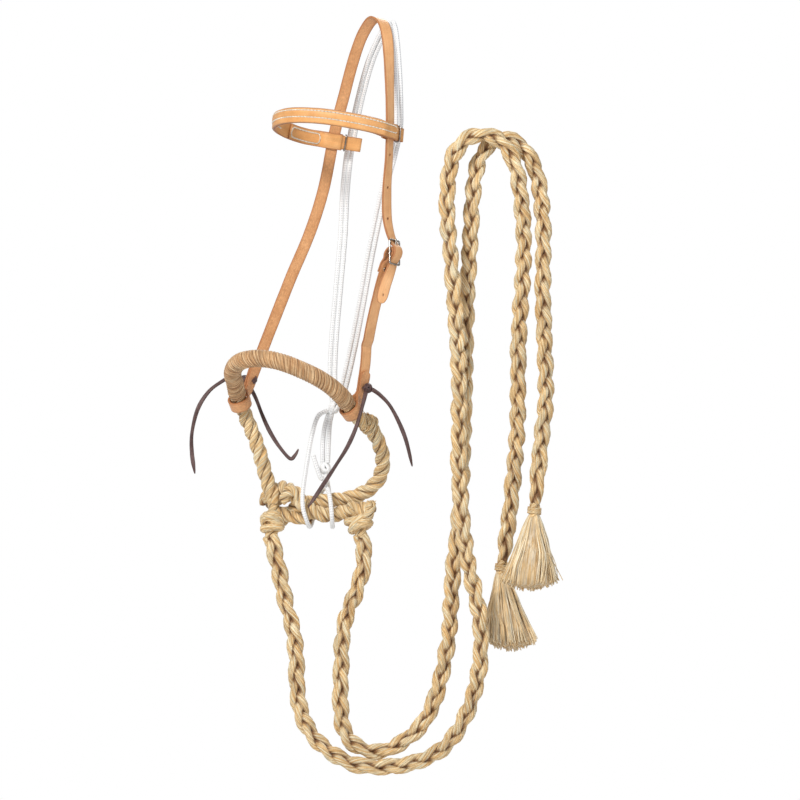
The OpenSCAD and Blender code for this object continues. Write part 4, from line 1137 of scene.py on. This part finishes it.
def hardware():
    pile = Pile()
    outline = [at_buckle(-RAIL_W, -BAR_U, 0), at_buckle(RAIL_W, -BAR_U, 0), at_buckle(RAIL_W, BAR_U, 0),
               at_buckle(-RAIL_W, BAR_U, 0)]
    wire_ring(pile, outline, WIRE_R, 2.6)
    rod(pile, at_buckle(-RAIL_W, 0, 0), at_buckle(RAIL_W, 0, 0), WIRE_R - 0.1)
    put(pile.build("buckle_frame_mesh", [NICKEL]), "headstall", "nickel", "buckle_frame")
    pile = Pile()
    lean = math.asin((WIRE_R + 1.1 + 0.25) / BAR_U)
    a = np.linspace(0, TAU, 40, endpoint=False)[:, None]
    axis = np.tile(BUCKLE_W, (40, 1))
    out = np.cos(a) * BUCKLE_DOWN + np.sin(a) * BUCKLE_OUT
    pile.sweep(BUCKLE_C + 1.95 * out, out, axis, circle(40, 12, 0.62) * np.array([1.0, 2.2]), closed=True)
    reach = []
    for u in (2.1, 5, 9, 13, 16, 17.6, 18.9):
        n = u * math.sin(lean) + (0.25 * math.sin(math.pi * u / 19))
        reach.append(at_buckle(0, -u * math.cos(lean), n))
    p = curve(reach, 3)
    t = headings(p)
    n = rows_across(np.tile(BUCKLE_W, (len(p), 1)), t)
    size = np.interp(np.linspace(0, 1, len(p)), [0, 0.5, 0.9, 1], [1.1, 1.1, 1.0, 0.7])
    pile.sweep(p, n, np.cross(t, n), circle(len(p), 14, size), dome=0.8)
    put(pile.build("buckle_tongue_mesh", [NICKEL]), "tongue", "nickel", "buckle_tongue")
    half = STRAP_T + LAYER_GAP / 2
    axis = unit(SCREW_OUT)
    side = across(BUCKLE_W, axis)
    up = np.cross(axis, side)
    for name, sign, profile in (("fold_screw", 1, ((0.0, 3.5), (0.28, 3.5), (0.62, 3.1), (0.8, 2.2),
                                                   (0.85, 0.5))),
                                ("fold_screw_post", -1,
                                 ((0.0, 3.5), (0.5, 3.5), (0.85, 3.1), (1.0, 2.2), (1.05, 0.5)))):
        pile = Pile()
        p = np.array([SCREW_AT + sign * (half + d) * axis for d, r in profile])
        ring = circle(len(p), 32, [r for d, r in profile])
        pile.sweep(p, np.tile(side, (len(p), 1)), np.tile(sign * up, (len(p), 1)), ring, dome=0.1)
        shaft = 2.2 if sign < 0 else 1.3
        rod(pile, SCREW_AT + sign * half * axis, SCREW_AT - sign * (half - 1.0) * axis, shaft)
        put(pile.build(name + "_mesh", [NICKEL]), "headstall", "nickel", name)


# ---------------------------------------------------------------- browband
BROW_W, BROW_T, PAD_T = 22.0, 2.4, 2.4
NEAR_S = vec(19.2, -69.3, -154)
NEAR_SW = unit(vec(0.64, 0.77, -0.20))
NEAR_SO = across(vec(0.77, -0.64, 0.063), NEAR_SW)
FAR_S = vec(-59.4, 72.1, -167)
FAR_SW = unit(vec(0.98, 0.10, -0.15))
FAR_SO = across(vec(-0.10, 0.98, 0.097), FAR_SW)
WALL_N = STRAP_T / 2 + 1.7 + BROW_T / 2
TURN_R = BROW_T / 2 + 0.3
TAIL_GAP = 0.8
STUB_S = 0.86
BROW_ARC = [[1, -93, -146.5], [-18, -99, -142], [-42, -101, -137.5], [-68, -97, -133.5], [-93, -87, -131.5],
            [-115, -70, -131.5], [-130, -47, -134], [-137.5, -20, -138], [-138, 6, -142], [-132, 30, -147.5],
            [-121, 50, -153], [-107, 64, -158], [-93, 71.5, -161.5]]


def at_near(w, n):
    return station(NEAR_S + w * NEAR_SW + n * NEAR_SO, np.cross(NEAR_SO, NEAR_SW), STUB_S if w > 12 else 1)


def at_far(w, n):
    return station(FAR_S + w * FAR_SW + n * FAR_SO, np.cross(FAR_SW, FAR_SO), STUB_S if w > 12 else 1)


def brow_loop(stub):
    turn = [(stub + TURN_R * math.cos(math.radians(d)), TURN_R * math.sin(math.radians(d)))
            for d in (-90, -45, 0, 45, 90)]
    return [(-20, WALL_N + 0.6 - BROW_T - TAIL_GAP), (-16, 0.2), (-12.5, -3), (-6, -WALL_N), (8.5, -WALL_N),
            (12, -TURN_R - 1), (15, -TURN_R), (stub - 4, -TURN_R)] + turn + [
                (stub - 4, TURN_R), (15, TURN_R), (12, TURN_R + 1), (8.5, WALL_N), (-6, WALL_N),
                        (-12.5, WALL_N)]


NEAR_LOOP = np.array([at_near(w, n) for w, n in brow_loop(26)])
FAR_LOOP = np.array([at_far(w, n) for w, n in brow_loop(37)])
BROW_MAIN = curve([at_near(-20, WALL_N + 0.6)] + [station(p, [0.10, 0, 1]) for p in BROW_ARC]
                  + [at_far(-20, WALL_N + 0.6)], 2)
BROW_IN = shifted(BROW_MAIN, BROW_T + TAIL_GAP)
OUTWARD = -1
ROW_LOW, ROW_HIGH = -2.2, 7.2


def stitch_row(pile, line, lift, points, pitch=5.2, long=3.9):
    """Stitches lie end to end along points, given as (distance along, offset across) on the line."""
    p7, s = dense(line, 0.8)
    _, side, up = strap_frames(p7)
    q = np.array(points, float)
    gone = np.r_[0, np.cumsum(np.hypot(*np.diff(q, axis=0).T))]
    count = int(gone[-1] / pitch)
    for i in range(count):
        mid = (i + 0.5) * gone[-1] / count
        local = []
        for k in np.linspace(-0.5, 0.5, 7):
            at = mid + k * long
            u, m = np.interp(at, gone, q[:, 0]), np.interp(at, gone, q[:, 1])
            sink = lift - 0.75 * (abs(2 * k)) ** 3
            place = np.array([np.interp(u, s, p7[:, c]) for c in range(3)])
            a = np.array([np.interp(u, s, side[:, c]) for c in range(3)])
            b = np.array([np.interp(u, s, up[:, c]) for c in range(3)])
            local.append(place + m * a + OUTWARD * sink * b)
        p = np.array(local)
        tt = headings(p)
        n = carried(tt)
        pile.sweep(p, n, np.cross(tt, n), circle(len(p), 8, 0.9), seed=i * 0.1, dome=0.8)


def padded_face(line):
    """A padded strip with rounded ends, sunk along its two rows of stitches."""
    p7, s = dense(line, 0.9)
    _, side, up = strap_frames(p7)
    h = (BROW_W - 1) / 2
    low, high = ROW_LOW / h, ROW_HIGH / h
    x = np.sort(np.r_[-1, -0.985, -0.94, -0.86, -0.72, -0.5, -0.35, low - 0.10, low - 0.05, low, low + 0.05,
                      low + 0.10, 0.02, 0.15, 0.27, 0.4, 0.5, high - 0.10, high - 0.05, high, high + 0.05,
                      high + 0.10, 0.86, 0.94, 0.985, 1])
    groove = np.exp(-((x - low) / 0.045) ** 2) + np.exp(-((x - high) / 0.045) ** 2)
    edge = np.clip((1 - np.abs(x)) / 0.10, 0, 1) ** 0.5
    middle, half = (low + high) / 2, (high - low) / 2
    crown = 0.9 * np.clip(1 - ((x - middle) / (half * 0.92)) ** 2, 0, 1) ** 0.6 + 0.25
    top = -PAD_T / 2 + (PAD_T + crown) * edge - 0.75 * groove
    near = np.clip(s / h, 0, 1)
    far = np.clip((s[-1] - s) / h, 0, 1)
    width = np.sqrt(np.clip(1 - (1 - near) ** 2, 0.02, 1)) * np.sqrt(np.clip(1 - (1 - far) ** 2, 0.02, 1))
    thin = np.clip(np.minimum(s, s[-1] - s) / 2.0, 0.25, 1)[:, None] ** 0.5
    ux = np.r_[x, x[::-4]]
    uy = np.r_[top, np.full(len(x[::-4]), -PAD_T / 2)]
    xs = ux[None, :] * h * width[:, None]
    ys = np.where(uy[None, :] > -PAD_T / 2, -PAD_T / 2 + (uy[None, :] + PAD_T / 2) * thin, uy[None, :])
    section = np.stack([xs, OUTWARD * ys], axis=2)
    # The tint darkens the stitch grooves and the underside on the strap as painted shade, and the rims as
    # worn edges.
    tint = np.r_[np.clip(groove * 0.95 + np.clip((np.abs(x) - 0.88) / 0.12, 0, 1) * 0.7, 0, 1),
                 np.full(len(x[::-4]), 0.5)]
    pile = Pile()
    pile.sweep(p7[:, :3], side, up, section, s=s, seed=3.3, tint=np.broadcast_to(tint, xs.shape), dome=0.02)
    return pile, s[-1]


def rounded_rows(start, end, m, r, mid=0.0):
    """Two rows of stitches joined round both ends."""
    arc = np.linspace(0, math.pi, 13)
    out = [(start + r, mid - m), (end - r, mid - m)]
    out += [(end - r + r * math.sin(a), mid - m * math.cos(a)) for a in arc[1:-1]]
    out += [(end - r, mid + m), (start + r, mid + m)]
    out += [(start + r - r * math.sin(a), mid + m * math.cos(a)) for a in arc[1:-1]]
    return out + [(start + r, mid - m)]


def browband():
    pile = Pile()
    tail_steps = 6
    last = len(BROW_MAIN) - 1
    line = np.vstack([BROW_IN[1:tail_steps + 1][::-1], NEAR_LOOP, BROW_MAIN, FAR_LOOP[::-1],
                      BROW_IN[last - tail_steps:last][::-1]])
    strap(pile, line, BROW_W, BROW_T, step=1.2, edge=0.5, seed=3.0, crown=0.15, wave=0.0)
    put(pile.build("browband_strap_mesh", [BROW, EDGE, BROW]), "browband", "browband_leather",
        "browband_strap")
    out_n = (BROW_T + PAD_T) / 2 + 0.25
    face_line = shifted(np.vstack([NEAR_LOOP[16:19], BROW_MAIN[:last - 1]]), OUTWARD * out_n)
    pile, long = padded_face(face_line)
    put(pile.build("browband_face_mesh", [BROW]), "browband", "browband_leather", "browband_face")
    pile = Pile()
    stitch_row(pile, face_line, PAD_T / 2 + 0.28, rounded_rows(3.0, long - 3.0, (ROW_HIGH - ROW_LOW) / 2,
            4.7, (ROW_HIGH + ROW_LOW) / 2))
    inner = shifted(np.vstack([BROW_MAIN[tail_steps + 2:last - tail_steps - 1]]), BROW_T / 2)
    span = lengths(inner)[-1]
    stitch_row(pile, inner, -0.25, [(1, ROW_LOW), (span - 1, ROW_LOW)])
    stitch_row(pile, inner, -0.25, [(1, ROW_HIGH), (span - 1, ROW_HIGH)])
    near_flap = np.vstack([NEAR_LOOP[1], NEAR_LOOP[0], BROW_IN[1:tail_steps + 1]])
    far_flap = np.vstack([BROW_IN[last - tail_steps:last], FAR_LOOP[0], FAR_LOOP[1]])
    for part in (near_flap, far_flap):
        flap = shifted(part, BROW_T / 2)
        span = lengths(flap)[-1]
        stitch_row(pile, flap, -0.25, rounded_rows(1.5, span - 1.5, 7.0, 5.0))
    put(pile.build("browband_stitching_mesh", [THREAD]), "browband", "thread", "browband_stitching")
    for name, body, base, sw, so in (("near_brow_ring", "near_ring", NEAR_S + 17 * NEAR_SW, NEAR_SW,
                                      NEAR_SO),
                                     ("far_brow_ring", "far_ring", FAR_S + 17 * FAR_SW, FAR_SW, FAR_SO)):
        pile = Pile()
        up = unit(np.cross(so, sw))
        y, z = TURN_R + BROW_T / 2 + 0.4 + 1.05, STUB_S * BROW_W / 2 + 0.4 + 1.05
        wire_ring(pile, [base - y * so - z * up, base + y * so - z * up, base + y * so + z * up,
                         base - y * so + z * up], 1.05, 2.2)
        put(pile.build(name + "_mesh", [NICKEL]), body, "nickel", name)


# ---------------------------------------------------------------- thongs
TAILS = {
    "far_thong_front_tail": [[-188, 71, -492], [-199, 70, -492], [-213, 66, -499], [-231, 60, -513],
                             [-246, 53, -537], [-254, 47, -570], [-254, 44, -598], [-250, 42, -626]],
    "far_thong_back_tail": [[-177, 73, -502], [-172, 77, -510], [-165, 76, -524], [-157, 68, -545],
                            [-147, 59, -567], [-134, 52, -588], [-119, 47, -605], [-112, 45, -601],
                            [-107, 44, -592]],
    "near_thong_front_tail": [[-14, -22, -514], [-17, -33, -526], [-22, -41, -544], [-29, -44, -566],
                              [-40, -43, -590], [-55, -39, -614], [-72, -34, -640], [-94, -28, -673]],
    "near_thong_back_tail": [[-5, -19, -510], [5, -26, -517], [19, -33, -532], [32, -37, -556],
                             [42, -38, -582], [50, -36, -616]],
}
LACE_W, LACE_T = 6.0, 3.0


def lace_section(w, t, taper):
    """Flat lace with a low ridge down each side of its middle."""
    x = np.array([-1, -0.9, -0.6, -0.25, 0, 0.25, 0.6, 0.9, 1, 0.9, 0.5, 0, -0.5, -0.9])
    y = np.array([0, 0.62, 1.0, 0.86, 1.12, 0.86, 1.0, 0.62, 0, -0.62, -0.95, -0.85, -0.95, -0.62])
    ring = np.stack([x * w / 2, y * t / 2], axis=1)
    # The tint darkens the hollows beside the ridges and the rounded edges as painted shade, so the ridges
    # stay lighter.
    return ring[None, :, :] * np.reshape(taper, (-1, 1, 1)), np.array([.7, .5, .1, .35, 0, .35, .1, .5, .7,
            .5, .2, .4, .2, .5])


def thongs():
    for name, route in TAILS.items():
        pile = Pile()
        p, s, n, b = flat_frames(route, 1.2, 0.9, 150.0)
        taper = np.clip((s[-1] - s) / 14.0, 0, 1) ** 0.7 * 0.72 + 0.28
        section, tint = lace_section(LACE_W, LACE_T, taper)
        pile.sweep(p, n, b, section, s=s, seed=1.0, tint=np.broadcast_to(tint, section.shape[:2]), dome=0.2)
        obj = put(pile.build(name + "_mesh", [THONG]), "headstall", "thong", name)
    for name, slot_c, out, up in (("near_thong_knot", NEAR_SLOT, NEAR_OUT, NEAR_UP),
                                  ("far_thong_knot", FAR_SLOT, FAR_OUT, FAR_UP)):
        pile = Pile()
        knot = slot_c + 10 * out
        side = np.cross(out, up)
        bight = curve([slot_c - 6 * out - 5.2 * up, slot_c - 7.4 * out, slot_c - 6 * out + 5.2 * up], 6)
        for shift in (-1.5, 1.5):
            q = curve([slot_c - 6.4 * out + shift * up, slot_c + shift * up, knot + shift * up], 8)
            t = headings(q)
            n = rows_across(np.tile(side, (len(q), 1)), t)
            section, tint = lace_section(4.2, 2.4, np.ones(len(q)))
            pile.sweep(q, n, np.cross(t, n), section, seed=shift,
                       tint=np.broadcast_to(tint, section.shape[:2]))
        t = headings(bight)
        n = rows_across(np.tile(side, (len(bight), 1)), t)
        section, tint = lace_section(6.4, 2.6, np.ones(len(bight)))
        pile.sweep(bight, n, np.cross(t, n), section, seed=4.0,
                   tint=np.broadcast_to(tint, section.shape[:2]))
        for i, (tilt, spin, size) in enumerate(((0.5, 0.2, 5.5), (-0.7, 1.3, 5.2), (0.1, 2.4, 5.8),
                                                (1.2, 0.8, 5.0))):
            axis = unit(side * math.cos(spin) + up * math.sin(spin) + tilt * out)
            u = across(out, axis)
            v = np.cross(axis, u)
            a = np.linspace(0, TAU, 60, endpoint=False)[:, None]
            radial = np.cos(a) * u + np.sin(a) * v
            q = knot + size * radial + (i - 1.5) * 0.9 * axis
            t = rows_unit(np.roll(q, -1, axis=0) - np.roll(q, 1, axis=0))
            section, tint = lace_section(5.2, 2.2, np.ones(len(q)))
            pile.sweep(q, np.tile(axis, (60, 1)), rows_across(radial, t), section, seed=i + 5.0, closed=True,
                       tint=np.broadcast_to(tint, section.shape[:2]))
        put(pile.build(name + "_mesh", [THONG]), "headstall", "thong", name)


reins()
white_cords()
ball_knot("upper_cord_knot", UPPER_KNOT, 8.6, 5, 3)
ball_knot("lower_cord_knot", LOWER_KNOT, 8.4, 5, 8)
thongs()
noseband_ropes()
fibre_wrap()
leg_collar()
rein_knots()
leather_straps()
hardware()
browband()
